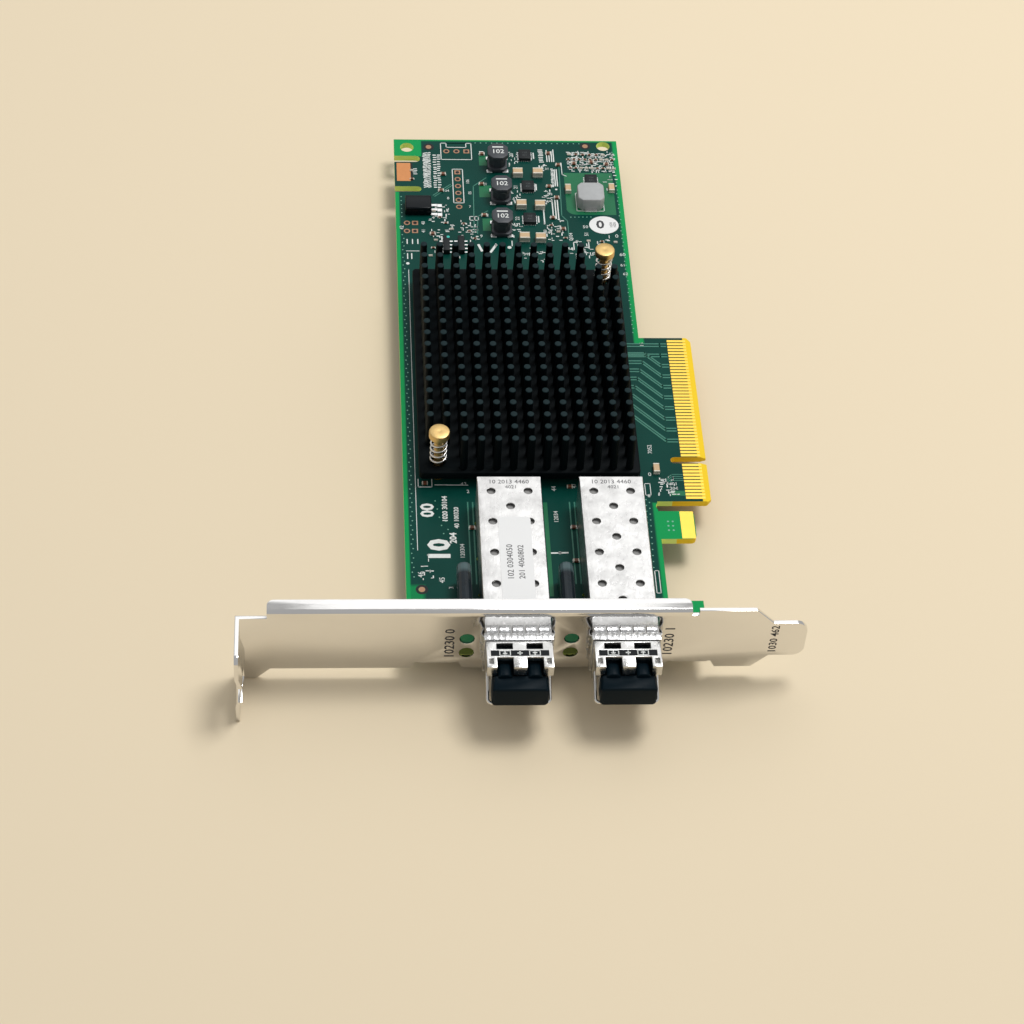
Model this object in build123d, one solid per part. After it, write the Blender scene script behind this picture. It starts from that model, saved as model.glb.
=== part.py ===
from build123d import *
import math
import os

# A two-port fibre channel host adapter, in millimetres.
# While it is modelled, x = 0 is the board's long back edge and grows to the edge contacts,
# y = 0 is the near end of the contact tongue and grows away from the bracket,
# and z = 0 is the face of the board that carries the components.
# At the end everything is moved so that the origin is the bottom centre of the whole card.

# Circuit board
board_thickness = 1.57
board_width = 56.6
board_far_y = 123.85
board_gap = 0.54
card_height = 68.9
tongue_length = 52.2
tongue_corner = 0.9
tongue_bevel = 1.3
tongue_bevel_depth = 0.5
key_start = 11.65
key_width = 1.90
key_depth = 8.2
guide_slot_width = 2.9
guide_slot_inset = 0.4
hook_reach = 7.9
hook_length = 8.3
hook_radius = 1.2
ear_reach = 7.6
ear_end_y = -29.0
edge_slots = ((116.35, 6.48, 2.3), (104.9, 6.57, 2.0))
corner_hole_radius = 1.7
corner_holes = ((3.26, 120.79), (board_width - 3.54, 121.78))

# Edge contacts
contact_width = 0.7
contact_pitch = 1.0
contact_length = 4.4
contact_thickness = 0.05
contacts_before_key = 11
contacts_after_key = 38
contact_to_key = 1.5

# Bracket
bracket_face_y = -43.8
bracket_gauge = 0.86
bracket_top = 14.3
bracket_bottom = -4.12
bracket_left = -36.0
bracket_length = 120.05
step_x = -29.43
step_top = 12.27
foot_bottom = -7.3
foot_inner_x = -32.0
foot_slope_x = -29.0
lip_to_end = 24.9
lip_depth = 3.5
lip_radius = 1.0
lip_corner = 1.5
lip_notch_width = 1.45
lip_notch_depth = 1.5
tail_length = 7.35
tail_slope = 4.0
tail_low_slope = 3.5
tail_top = 10.1
tail_bottom = -0.35
tail_radius = 2.6
flange_reach = 11.43
flange_corner = 2.0
flange_joggle = 0.9
joggle_levels = (-2.4, -0.1, 2.6, 6.2)
flange_slot_width = 4.42
flange_slot_depth = 6.2
flange_slot_z = 1.2
tab_centres = (6.12, board_width + 3.3)
tab_width = 7.6
tab_length = 9.3
tab_notch_width = 1.5
tab_notch_rise = 0.25

# Ports, shared by the bracket, the cages and what slides into them
port_edge = 11.3
port_spacing = 22.5
port_centres = (board_width - port_edge - port_spacing, board_width - port_edge)
opening_width = 14.3
opening_top = 12.5
opening_bottom = -0.45
opening_corner = 0.5

# Bracket screws
screw_radius = 1.25
screw_clearance = 0.05
screw_hole_radius = 1.6
screw_head_radius = 2.4
screw_head_height = 1.7
screw_to_tab_end = 4.2
screw_beyond_tab = 0.9

# Light pipes and their lamps
pipe_offsets = (10.5, 11.0)
pipe_foot_length = 3.0
pipe_front_gap = 2.0
pipe_hole_radius = 1.65
pipe_radius = 1.5
pipe_levels = (0.9, 5.45)
pipe_width = 3.1
pipe_rear_y = -23.7
pipe_board_clearance = 0.1
pipe_recess = 0.3
pipe_sides = 12
lamp_size = (1.6, 0.8, 0.7)
lamp_spacing = 1.6

# Cages
cage_width = 14.0
cage_height = 9.8
cage_sheet = 0.25
cage_rear_y = -1.53
cage_mouth = 4.1
cage_rear_opening = 17.0
cage_hole_radius = 0.85
cage_hole_sides = 8
cage_hole_pitch = 8.85
cage_hole_first = 4.2
cage_pair_spacing = 8.1
cage_pair_rows = 4
cage_tail_radius = 0.525
cage_tail = (0.25, 0.6, 2.3)
cage_tail_rows = 4
cage_tail_pitch = 10.4
cage_tail_first = 5.0

# Spring finger collar round the mouth of a cage
collar_gap = 0.05
collar_sheet = 0.2
collar_band = 1.9
finger_top_count = 5
finger_side_count = 3
finger_pitch = 2.75
finger_width = 2.45
finger_rise = 0.5
finger_gap = 0.15
finger_hold = 0.2

# Connector inside a cage
connector_width = 11.0
connector_length = 9.4
connector_height = 6.2
connector_gap = 0.8
connector_slot = (9.6, 5.1, 1.4)
connector_chamfer = 0.8

# Transceiver
module_width = 13.3
module_height = 8.5
module_lift = 0.45
module_wall = 0.8
module_roof = 0.9
module_rear_gap = 0.42
module_bulkhead = 2.1
nose_width = 13.85
nose_length = 6.9
nose_top = 9.9
nose_bottom = 0.2
nose_gap = 0.2
port_pitch = 6.25
port_width = 4.6
port_height = 4.7
port_axis_z = 4.4
latch_width = 3.45
latch_top = 8.3
window_start = 0.5
window_length = 1.6
bridge_length = 2.1
corner_face_bottom = 7.0
pocket_size = (1.0, 1.5, 1.2)
bail_recess = 1.03
bail_recess_start = 2.3

# Pieces inside and on a transceiver
strip_width = 12.1
strip_length = 1.5
strip_thickness = 0.15
module_board_thickness = 1.0
module_board_width = 11.2
module_edge_width = 9.2
module_edge_gap = 0.6
module_board_z = 3.6
ledge_height = 0.7
ledge_width = 0.85
cover_thickness = 0.5
cover_flange = 1.4
cover_gap = 0.05
lever_width = 4.8
lever_thickness = 0.5
lever_length = 13.5
lever_clearance = 0.1
barrel_radius = 1.45
barrel_bore = 0.65
barrel_can_radius = 2.45
barrel_can_length = 3.6
barrel_reach = 3.2
barrel_clearance = 0.2

# Bail
bail_wire = 0.4
bail_arm_x = 6.5
bail_pivot = (-51.1, 3.5)
bail_reach = (-6.0, -2.8)
bail_bend = 0.8
bail_stub_bend = 0.5
bail_running_clearance = 0.05
bail_bore_depth = 1.0
bend_share = 1 - math.sqrt(0.5)
bail_stub_tip = 0.05

# Dust plug
plug_width = 11.8
plug_height = 5.4
plug_bottom = 1.7
plug_length = 3.65
plug_gap = 0.15
plug_edge = 0.6
lobe_clearance = 0.25
lobe_length = 5.4
lobe_ridge_width = 2.9
lobe_ridge_top = 8.1
lobe_ridge_cut = 0.7
lobe_bore = 1.8

# Heat sink and what holds it
sink_centre = (28.2, 37.85)
sink_width = 49.5
sink_length = 66.6
sink_base = 2.1
sink_underside = 2.35
sink_corner = 0.6
sink_pin_pitch = 3.717
sink_columns = 13
sink_rows = 18
sink_pin_radius = 0.88
sink_pin_taper = 0.6
sink_pin_sides = 5
sink_top = 14.0
chip_size = 27.0
chip_height = 1.85
pad_size = 25.0
push_pin_head = (2.3, 1.2)
push_pin_top = 14.2
push_pin_shaft = 1.05
push_pin_hole = 1.6
push_pin_barb = (1.85, 2.7)
push_pin_tip = 0.6
spring_radius = 1.75
spring_wire = 0.25
spring_turns = 4.5
spring_steps = 8
spring_sides = 4

# Power parts
inductor_places = ((25.77, 113.93), (26.17, 101.81), (25.85, 89.87))
inductor_size = (5.1, 5.6, 5.0)
inductor_cut = 1.3
grey_inductor_place = (48.35, 100.6)
grey_inductor_size = (6.5, 6.6, 3.5)
grey_inductor_cut = 1.0
regulator_places = ((32.87, 117.59), (33.12, 105.72), (32.96, 93.68), (49.07, 108.2))
regulator_size = (3.05, 3.5, 0.9)
switch_size = (6.7, 5.8, 3.0)
switch_place = (5.43, 97.0)
lead_size = (2.7, 0.8, 0.5)
lead_rows = (-1.65, 0.0, 1.65)
memory_places = ((12.1, 83.6), (15.7, 83.65))
memory_size = (1.6, 5.3, 1.5)
tan_capacitor_places = (
    (30.74, 110.22), (35.76, 110.28), (31.09, 98.30),
    (35.67, 98.12), (31.30, 86.30), (35.23, 86.12),
)
tan_capacitor_size = (2.5, 2.2, 1.8)
upright_capacitor_places = ((43.1, 104.7), (board_width - 2.6, 105.05), (board_width + 0.55, 9.4))
upright_capacitor_size = (1.45, 2.6, 1.2)
small_part_places = (
    (4.85, 5.35), (37.25, 4.26), (14.9, -7.98), (37.4, -7.87), (37.3, -17.66),
    (38.9, 118.6), (41.2, 114.2), (38.4, 106.0), (40.1, 101.8), (38.7, 94.3),
    (41.0, 90.2), (22.1, 118.2), (21.6, 106.7), (21.8, 95.1), (45.2, 114.8),
    (49.6, 115.3), (board_width - 3.2, 114.6), (11.4, 104.2), (12.1, 110.4), (8.9, 88.2),
)
small_part_size = (1.3, 0.9, 0.6)

# Labels
cage_label_size = (7.0, 26.2)
cage_label_side = 0.6
cage_label_front = 3.4
label_thickness = 0.1
sticker_place = (board_width - 5.4, 91.9)
sticker_radius = 3.3

# Few-sided rounds for what repeats
small_round_sides = 12
round_sides = 20
wire_sides = 6

# Places that follow from the sizes above
pipe_centres = [x - offset for x, offset in zip(port_centres, pipe_offsets)]
bracket_right = bracket_left + bracket_length
lip_right_x = bracket_right - lip_to_end
board_near_y = bracket_face_y + bracket_gauge + board_gap
bracket_back_y = bracket_face_y + bracket_gauge
cage_mouth_y = bracket_face_y - cage_mouth
board_under = -board_thickness


def block(x, y, z):
    """A box between the low and high of three pairs."""
    pairs = (x, y, z)
    size = [high - low for low, high in pairs]
    middle = [(high + low) / 2 for low, high in pairs]
    return Pos(*middle) * Box(*size)


def centred(place, size, base=0.0):
    """A box that stands on a level, centred on a place."""
    x, y = place
    width, length, height = size
    return Pos(x, y, base + height / 2) * Box(width, length, height)


def rod(place, radius, low, high):
    """An upright cylinder."""
    x, y = place
    return Pos(x, y, (low + high) / 2) * Cylinder(radius, high - low)


def prism(place, radius, low, high, sides=small_round_sides):
    """An upright round with few sides, for what is small and repeats."""
    x, y = place
    return Pos(x, y, low) * extrude(RegularPolygon(radius, sides), amount=high - low)


def bore_y(x, z, radius, y_low, y_high, sides=small_round_sides):
    """A round with few sides that lies along y."""
    face = Plane.XZ.offset(-y_high) * Pos(x, z) * RegularPolygon(radius, sides)
    return extrude(face, amount=y_high - y_low)


def slab(outline, z_low, z_high):
    """A flat outline in x and y, given a thickness."""
    face = make_face(Polyline(*outline, close=True))
    return Pos(0, 0, z_low) * extrude(face, amount=z_high - z_low)


def plate_xz(outline, y_low, y_high):
    """An outline drawn in x and z, stretched between two y planes."""
    face = Plane.XZ.offset(-y_high) * make_face(Polyline(*outline, close=True))
    return extrude(face, amount=y_high - y_low)


def slot_x(y, x_low, x_high, width, low, high):
    """A slot along x with its low end rounded."""
    radius = width / 2
    end = prism((x_low + radius, y), radius, low, high)
    run = block((x_low + radius, x_high), (y - radius, y + radius), (low, high))
    return end + run


def push_pin_places():
    """The middle of each corner where the heat sink leaves four pins out."""
    half_x = (sink_columns - 2) / 2 * sink_pin_pitch
    half_y = (sink_rows - 2) / 2 * sink_pin_pitch
    x, y = sink_centre
    return ((x - half_x, y - half_y), (x + half_x, y + half_y))


def cage_tail_places(port_x):
    """The places of the solder tails along both walls of a cage."""
    wall = (cage_width - cage_sheet) / 2
    rows = [cage_rear_y - cage_tail_first - row * cage_tail_pitch for row in range(cage_tail_rows)]
    return [(port_x + side * wall, y) for side in (-1, 1) for y in rows]


def screw_places():
    """The middle of the screw in each mounting tab."""
    y = bracket_face_y + tab_length - screw_to_tab_end
    return [(x, y) for x in tab_centres]


def board_tongue():
    """The contact tongue, with its corners cut, its tip bevelled and its key notch."""
    low, high = board_under, 0.0
    tip = card_height
    shoulder = tip - tongue_corner
    root = board_width - 1.0
    plan = slab(
        (
            (root, 0), (shoulder, 0), (tip, tongue_corner),
            (tip, tongue_length - tongue_corner), (shoulder, tongue_length), (root, tongue_length),
        ),
        low, high,
    )
    bevel_x = tip - tongue_bevel
    section = plate_xz(
        (
            (root, high), (bevel_x, high), (tip, high - tongue_bevel_depth),
            (tip, low + tongue_bevel_depth), (bevel_x, low), (root, low),
        ),
        0, tongue_length,
    )
    key_y = key_start + key_width / 2
    key = slot_x(key_y, tip - key_depth, tip + 1, key_width, low - 1, high + 1)
    return (plan & section) - key


def circuit_board():
    low, high = board_under, 0.0
    board = block((0, board_width), (board_near_y, board_far_y), (low, high))
    board += board_tongue()

    hook_high = -guide_slot_width
    hook_low = hook_high - hook_length
    hook = block((board_width - 2, board_width + hook_reach), (hook_low, hook_high), (low, high))
    hook = fillet(hook.edges().filter_by(Axis.Z).group_by(Axis.X)[-1], hook_radius)
    ear = block((board_width - 2, board_width + ear_reach), (board_near_y, ear_end_y), (low, high))
    board += [hook, ear]

    cuts = []
    guide_y = -guide_slot_width / 2
    cuts.append(slot_x(guide_y, board_width - guide_slot_inset, card_height, guide_slot_width, low - 1, 1))
    for y, depth, width in edge_slots:
        cuts.append(block((-1, depth - width / 2), (y - width / 2, y + width / 2), (low - 1, 1)))
        cuts.append(prism((depth - width / 2, y), width / 2, low - 1, 1))
    for place in corner_holes:
        cuts.append(rod(place, corner_hole_radius, low - 1, 1))
    for place in push_pin_places():
        cuts.append(prism(place, push_pin_hole, low - 1, 1))
    for place in screw_places():
        cuts.append(prism(place, screw_hole_radius, low - 1, 1))
    for port_x in port_centres:
        for place in cage_tail_places(port_x):
            cuts.append(prism(place, cage_tail_radius, low - 1, 1, sides=6))
    return board - cuts


def edge_contacts():
    """Gold contacts on both faces of the tongue, on each side of the key."""
    key_y = key_start + key_width / 2
    before = [key_y - contact_to_key - i * contact_pitch for i in range(contacts_before_key)]
    after = [key_y + contact_to_key + i * contact_pitch for i in range(contacts_after_key)]
    end = card_height - tongue_bevel
    start = end - contact_length
    solids = []
    for y in before + after:
        along = (y - contact_width / 2, y + contact_width / 2)
        solids.append(block((start, end), along, (0, contact_thickness)))
        solids.append(block((start, end), along, (board_under - contact_thickness, board_under)))
    return Compound(solids)


def bracket_outline():
    """The flat face of the bracket, drawn in x and z."""
    right = bracket_right
    notch_left = lip_right_x
    notch_right = lip_right_x + lip_notch_width
    notch_floor = bracket_top - lip_notch_depth
    tail_x = right - tail_length
    return (
        (bracket_left, foot_bottom), (foot_inner_x, foot_bottom), (foot_slope_x, bracket_bottom),
        (tail_x - tail_low_slope, bracket_bottom), (tail_x, tail_bottom),
        (right, tail_bottom), (right, tail_top), (tail_x, tail_top),
        (tail_x - tail_slope, bracket_top), (notch_right, bracket_top), (notch_right, notch_floor),
        (notch_left, notch_floor), (notch_left, bracket_top), (step_x, bracket_top),
        (step_x, step_top), (bracket_left, step_top),
    )


def bracket_flange():
    """The end flange with its joggle and its screw slot, open to the front."""
    x = bracket_left
    z1, z2, z3, z4 = joggle_levels
    outer = ((x, foot_bottom), (x, z1), (x + flange_joggle, z2), (x + flange_joggle, z3), (x, z4), (x, step_top))
    inner = tuple((px + bracket_gauge, pz) for px, pz in reversed(outer))
    front = bracket_face_y - flange_reach
    flange = plate_xz(outer + inner, front, bracket_face_y)
    corners = flange.edges().filter_by(Axis.X).group_by(Axis.Y)[0].group_by(Axis.Z)[-1]
    flange = fillet(corners, flange_corner)
    half = flange_slot_width / 2
    slot_end = front + flange_slot_depth - half
    around = (x - 1, x + flange_joggle + bracket_gauge + 1)
    run = block(around, (front - 1, slot_end), (flange_slot_z - half, flange_slot_z + half))
    turned = Rot(0, 90, 0) * Cylinder(half, around[1] - around[0])
    end = Pos((around[0] + around[1]) / 2, slot_end, flange_slot_z) * turned
    return flange - [run, end]


def mounting_tab(centre_x):
    """A tab folded under the board, with the thread hole for its screw."""
    half = tab_width / 2
    low, high = board_under - bracket_gauge, board_under
    span = (centre_x - half, centre_x + half)
    return block(span, (bracket_face_y, bracket_face_y + tab_length), (low, high))


def tab_relief(centre_x):
    """What is cut from the bracket's lower edge so that a tab can fold."""
    half = tab_width / 2
    fold = board_under - bracket_gauge
    depth = (bracket_face_y - 1, bracket_back_y + 1)
    pieces = [block((centre_x - half, centre_x + half), depth, (bracket_bottom - 1, fold))]
    for side in (-1, 1):
        middle = centre_x + side * (half + tab_notch_width / 2)
        near = middle - side * tab_notch_width / 2
        away = middle + side * tab_notch_width
        peak = fold + tab_notch_rise
        corners = ((near, bracket_bottom - 1), (near, peak), (middle, peak), (away, bracket_bottom - 1))
        pieces.append(plate_xz(corners, *depth))
    return pieces


def mounting_bracket():
    plate = plate_xz(bracket_outline(), bracket_face_y, bracket_back_y)
    plate = fillet(plate.edges().filter_by(Axis.Y).group_by(Axis.X)[-1], tail_radius)
    for centre_x in tab_centres:
        plate -= tab_relief(centre_x)

    lip_back = bracket_face_y + lip_depth
    lip = block((step_x, lip_right_x), (bracket_face_y, lip_back), (bracket_top - bracket_gauge, bracket_top))
    lip = fillet(lip.edges().filter_by(Axis.Z).group_by(Axis.Y)[-1], lip_corner)
    bracket = plate + lip + bracket_flange()
    for centre_x in tab_centres:
        bracket += mounting_tab(centre_x)

    bend = bracket.edges().filter_by(Axis.X).group_by(Axis.Z)[-1].group_by(Axis.Y)[0].sort_by(Axis.X)[0]
    bracket = fillet(bend, lip_radius)

    cuts = []
    middle_z = (opening_top + opening_bottom) / 2
    opening = Rectangle(opening_width, opening_top - opening_bottom)
    opening = chamfer(opening.vertices(), opening_corner)
    for port_x in port_centres:
        face = Plane.XZ.offset(-bracket_back_y - 1) * Pos(port_x, middle_z) * opening
        cuts.append(extrude(face, amount=bracket_gauge + 2))
    for pipe_x in pipe_centres:
        for z in pipe_levels:
            cuts.append(bore_y(pipe_x, z, pipe_hole_radius, bracket_face_y - 1, bracket_back_y + 1, pipe_sides))
    for place in screw_places():
        cuts.append(prism(place, screw_radius + screw_clearance, board_under - bracket_gauge - 1, board_under + 0.1))
    return bracket - cuts


def bracket_screws():
    """Two pan head screws through the board into the bracket's tabs."""
    tip = board_under - bracket_gauge - screw_beyond_tab
    bevel = screw_head_height * 0.4
    solids = []
    for place in screw_places():
        head = prism(place, screw_head_radius, 0, screw_head_height)
        head = chamfer(head.edges().group_by(Axis.Z)[-1], bevel)
        solids.append(head + prism(place, screw_radius, tip, 0))
    return Compound(solids)


def light_pipe(pipe_x):
    """A clear moulding that leads the light of two lamps to the bracket."""
    front = bracket_face_y + pipe_recess
    half = pipe_width / 2
    low_level, high_level = pipe_levels
    lower = bore_y(pipe_x, low_level, pipe_radius, front, pipe_rear_y, pipe_sides)
    under = (low_level - pipe_width, pipe_board_clearance)
    lower -= block((pipe_x - pipe_width, pipe_x + pipe_width), (front - 1, pipe_rear_y + 1), under)
    upper = bore_y(pipe_x, high_level, pipe_radius, front, pipe_rear_y, pipe_sides)
    web_front = board_near_y + pipe_front_gap
    web_low = lamp_size[2] + pipe_board_clearance
    web = block((pipe_x - half, pipe_x + half), (web_front, pipe_rear_y), (web_low, high_level))
    foot = block((pipe_x - half, pipe_x + half), (web_front, web_front + pipe_foot_length), (0, high_level))
    return lower + upper + web + foot - lamp_space(pipe_x)


def lamp_places(pipe_x):
    """Two small lamps at the rear of a light pipe."""
    y = pipe_rear_y - lamp_size[1]
    return [(pipe_x, y), (pipe_x, y - lamp_spacing)]


def lamp_space(pipe_x):
    """The room that a light pipe leaves over its lamps."""
    width, length, height = lamp_size
    clear = pipe_board_clearance
    y_rear = pipe_rear_y + 1
    y_front = lamp_places(pipe_x)[-1][1] - length / 2 - clear
    return block((pipe_x - pipe_width, pipe_x + pipe_width), (y_front, y_rear), (-1, height + clear))


def status_lamps():
    return Compound([centred(place, lamp_size) for x in pipe_centres for place in lamp_places(x)])


def cage(port_x):
    """A folded sheet cage, open in front and under its rear, with its vent holes and tails."""
    half = cage_width / 2
    inner = half - cage_sheet
    shell = block((-half, half), (cage_mouth_y, cage_rear_y), (0, cage_height))
    space = block((-inner, inner), (cage_mouth_y - 1, cage_rear_y - cage_sheet), (cage_sheet, cage_height - cage_sheet))
    under = block((-inner, inner), (cage_rear_y - cage_rear_opening, cage_rear_y - cage_sheet), (-1, cage_height / 2))
    cuts = [space, under]
    roof = (cage_height - 2 * cage_sheet, cage_height + 1)
    for row in range(cage_pair_rows):
        y = cage_rear_y - cage_hole_first - row * cage_hole_pitch
        for side in (-1, 1):
            cuts.append(prism((side * cage_pair_spacing / 2, y), cage_hole_radius, *roof, sides=cage_hole_sides))
        cuts.append(prism((0, y - cage_hole_pitch / 2), cage_hole_radius, *roof, sides=cage_hole_sides))
    shell -= cuts
    thick, wide, deep = cage_tail
    tails = []
    for x, y in cage_tail_places(0):
        tails.append(block((x - thick / 2, x + thick / 2), (y - wide / 2, y + wide / 2), (-deep, cage_sheet)))
    return Pos(port_x, 0, 0) * (shell + tails)


def spring_finger():
    """One arched finger of the collar, on its root line, with its free end towards the bracket."""
    root = cage_mouth_y + collar_band
    tip = bracket_face_y - finger_gap
    run = tip - root
    sheet = collar_sheet
    ramp = run * 0.25
    outline = (
        (root - finger_hold, 0), (root + ramp, finger_rise), (tip - ramp, finger_rise), (tip, 0),
        (tip, sheet), (tip - ramp, finger_rise + sheet), (root + ramp, finger_rise + sheet),
        (root - finger_hold, sheet),
    )
    face = Plane.YZ.offset(-finger_width / 2) * make_face(Polyline(*outline, close=True))
    return extrude(face, amount=finger_width)


def cage_collar(port_x):
    """A band of spring fingers round the mouth of a cage."""
    half = cage_width / 2 + collar_gap
    low, high = -collar_gap, cage_height + collar_gap
    band_end = cage_mouth_y + collar_band
    sheet = collar_sheet
    band = block((-half - sheet, half + sheet), (cage_mouth_y, band_end), (low - sheet, high + sheet))
    band -= block((-half, half), (cage_mouth_y - 1, band_end + 1), (low, high))
    finger = spring_finger()
    fingers = []
    for i in range(finger_top_count):
        x = (i - (finger_top_count - 1) / 2) * finger_pitch
        fingers.append(Pos(x, 0, high) * finger)
        fingers.append(Pos(x, 0, low) * Rot(0, 180, 0) * finger)
    for i in range(finger_side_count):
        z = cage_height / 2 + (i - (finger_side_count - 1) / 2) * finger_pitch
        fingers.append(Pos(half, 0, z) * Rot(0, 90, 0) * finger)
        fingers.append(Pos(-half, 0, z) * Rot(0, -90, 0) * finger)
    return Pos(port_x, 0, 0) * (band + fingers)


def port_connector(port_x):
    """The twenty way connector on the board, with the slot that the transceiver's board enters."""
    half = connector_width / 2
    rear = cage_rear_y - connector_gap
    front = rear - connector_length
    body = block((-half, half), (front, rear), (0, connector_height))
    body = chamfer(body.edges().filter_by(Axis.X).group_by(Axis.Y)[0].sort_by(Axis.Z)[-1], connector_chamfer)
    width, depth, height = connector_slot
    middle = module_board_z + module_board_thickness / 2
    slot = block((-width / 2, width / 2), (front - 1, front + depth), (middle - height / 2, middle + height / 2))
    return Pos(port_x, 0, 0) * (body - slot)


# Places along a transceiver that several of its pieces share
module_rear_y = cage_rear_y - cage_sheet - module_rear_gap
nose_rear_y = cage_mouth_y - nose_gap
nose_front_y = nose_rear_y - nose_length
bulkhead_y = nose_rear_y + module_bulkhead
window_rear_y = nose_rear_y - window_start
window_front_y = window_rear_y - window_length
bridge_front_y = window_front_y - bridge_length
connector_front_y = cage_rear_y - connector_gap - connector_length
cover_rear_y = connector_front_y - 0.8
can_rear_y = bulkhead_y + barrel_can_length
lever_rear_y = nose_front_y + 1.0 + lever_length


def transceiver_housing(port_x):
    """The cast housing: a channel that slides into the cage, and the nose with its two ports."""
    half = module_width / 2
    low, high = module_lift, module_lift + module_height
    body = block((-half, half), (nose_rear_y - 1, module_rear_y), (low, high))
    inner = half - module_wall
    body -= block((-inner, inner), (bulkhead_y, module_rear_y + 1), (low - 1, high - module_roof))
    ledge_top = module_board_z
    for side in (-1, 1):
        x = sorted((side * (inner - ledge_width), side * (inner + 0.1)))
        body += block(x, (can_rear_y + 0.5, cover_rear_y - 1), (ledge_top - ledge_height, ledge_top))

    nose_half = nose_width / 2
    nose = block((-nose_half, nose_half), (nose_front_y, nose_rear_y), (nose_bottom, nose_top))
    housing = body + nose

    cuts = []
    port_low = port_axis_z - port_height / 2
    port_high = port_axis_z + port_height / 2
    over = nose_top + 1
    ahead = nose_front_y - 1
    for side in (-1, 1):
        x = side * port_pitch / 2
        port = (x - port_width / 2, x + port_width / 2)
        latch = (x - latch_width / 2, x + latch_width / 2)
        cuts.append(block(port, (ahead, window_rear_y), (port_low, port_high)))
        cuts.append(block(latch, (ahead, window_rear_y), (port_high - 0.1, latch_top)))
        cuts.append(block(latch, (window_front_y, window_rear_y), (latch_top - 0.1, over)))
        cuts.append(block(latch, (ahead, bridge_front_y), (latch_top - 0.1, over)))
        cuts.append(bore_y(x, port_axis_z, barrel_radius + barrel_clearance, window_rear_y - 1, bulkhead_y + 1))
        wide, long, deep = pocket_size
        pocket_x = side * (nose_half - 0.45 - wide / 2)
        pocket_y = bridge_front_y - 0.3 - long / 2
        cuts.append(centred((pocket_x, pocket_y), (wide, long, deep + 1), nose_top - deep))
        recess_x = sorted((side * (nose_half - bail_recess), side * (nose_half + 1)))
        recess_y = (ahead, nose_rear_y - bail_recess_start)
        cuts.append(block(recess_x, recess_y, (nose_bottom - 1, corner_face_bottom)))
        pivot_y, pivot_z = bail_pivot
        bore = Plane.YZ * RegularPolygon(bail_wire + bail_running_clearance, small_round_sides)
        bore = extrude(bore, amount=bail_bore_depth, both=True)
        cuts.append(Pos(side * (nose_half - bail_recess), pivot_y, pivot_z) * bore)
    strip_y = (window_front_y + bridge_front_y) / 2
    cuts.append(centred((0, strip_y), (strip_width, strip_length, 1), nose_top - strip_thickness))
    groove = lever_width / 2 + lever_clearance
    groove_top = cage_sheet + lever_clearance * 2 + lever_thickness
    cuts.append(block((-groove, groove), (ahead, bulkhead_y + 1), (-1, groove_top)))
    return Pos(port_x, 0, 0) * (housing - cuts)


def marker_strip(port_x):
    """The black strip let into the bridge over the ports."""
    y = (window_front_y + bridge_front_y) / 2
    return Pos(port_x, 0, 0) * centred((0, y), (strip_width, strip_length, strip_thickness), nose_top - strip_thickness)


def transceiver_cover(port_x):
    """The pressed cover that closes the housing from below."""
    half = module_width / 2 - module_wall - cover_gap
    low = module_lift
    front, rear = lever_rear_y + 0.3, cover_rear_y
    cover = block((-half, half), (front, rear), (low, low + cover_thickness))
    for side in (-1, 1):
        x = sorted((side * half, side * (half - cover_thickness)))
        cover += block(x, (front, rear), (low, low + cover_thickness + cover_flange))
    return Pos(port_x, 0, 0) * cover


def transceiver_board(port_x):
    """The transceiver's own board, with the narrow end that enters the connector."""
    low, high = module_board_z, module_board_z + module_board_thickness
    half = module_board_width / 2
    edge = module_edge_width / 2
    tip = connector_front_y + connector_slot[1] - module_edge_gap
    board = block((-half, half), (can_rear_y + 0.2, cover_rear_y), (low, high))
    board += block((-edge, edge), (cover_rear_y - 1, tip), (low, high))
    return Pos(port_x, 0, 0) * board


def optical_barrels(port_x):
    """The sending and receiving barrels: a can behind the bulkhead and a sleeve in each port."""
    front = window_rear_y - barrel_reach
    solids = []
    for side in (-1, 1):
        x = side * port_pitch / 2
        barrel = bore_y(x, port_axis_z, barrel_radius, front, bulkhead_y + 0.5)
        barrel += bore_y(x, port_axis_z, barrel_can_radius, bulkhead_y, can_rear_y)
        barrel -= bore_y(x, port_axis_z, barrel_bore, front - 1, front + barrel_reach)
        solids.append(Pos(port_x, 0, 0) * barrel)
    return Compound(solids)


def latch_lever(port_x):
    """The flat lever under the nose that the bail works."""
    half = lever_width / 2
    low = cage_sheet + lever_clearance
    front = nose_front_y + 1.0
    return Pos(port_x, 0, 0) * block((-half, half), (front, lever_rear_y), (low, low + lever_thickness))


def bent_wire_points(corners, radii):
    """The points of a bent wire, with three on each right-angle bend."""
    points = [Vector(*corners[0])]
    for before, corner, after, radius in zip(corners, corners[1:], corners[2:], radii):
        middle = Vector(*corner)
        back = (Vector(*before) - middle).normalized() * radius
        ahead = (Vector(*after) - middle).normalized() * radius
        points += [middle + back, middle + (back + ahead) * bend_share, middle + ahead]
    points.append(Vector(*corners[-1]))
    return points


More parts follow.
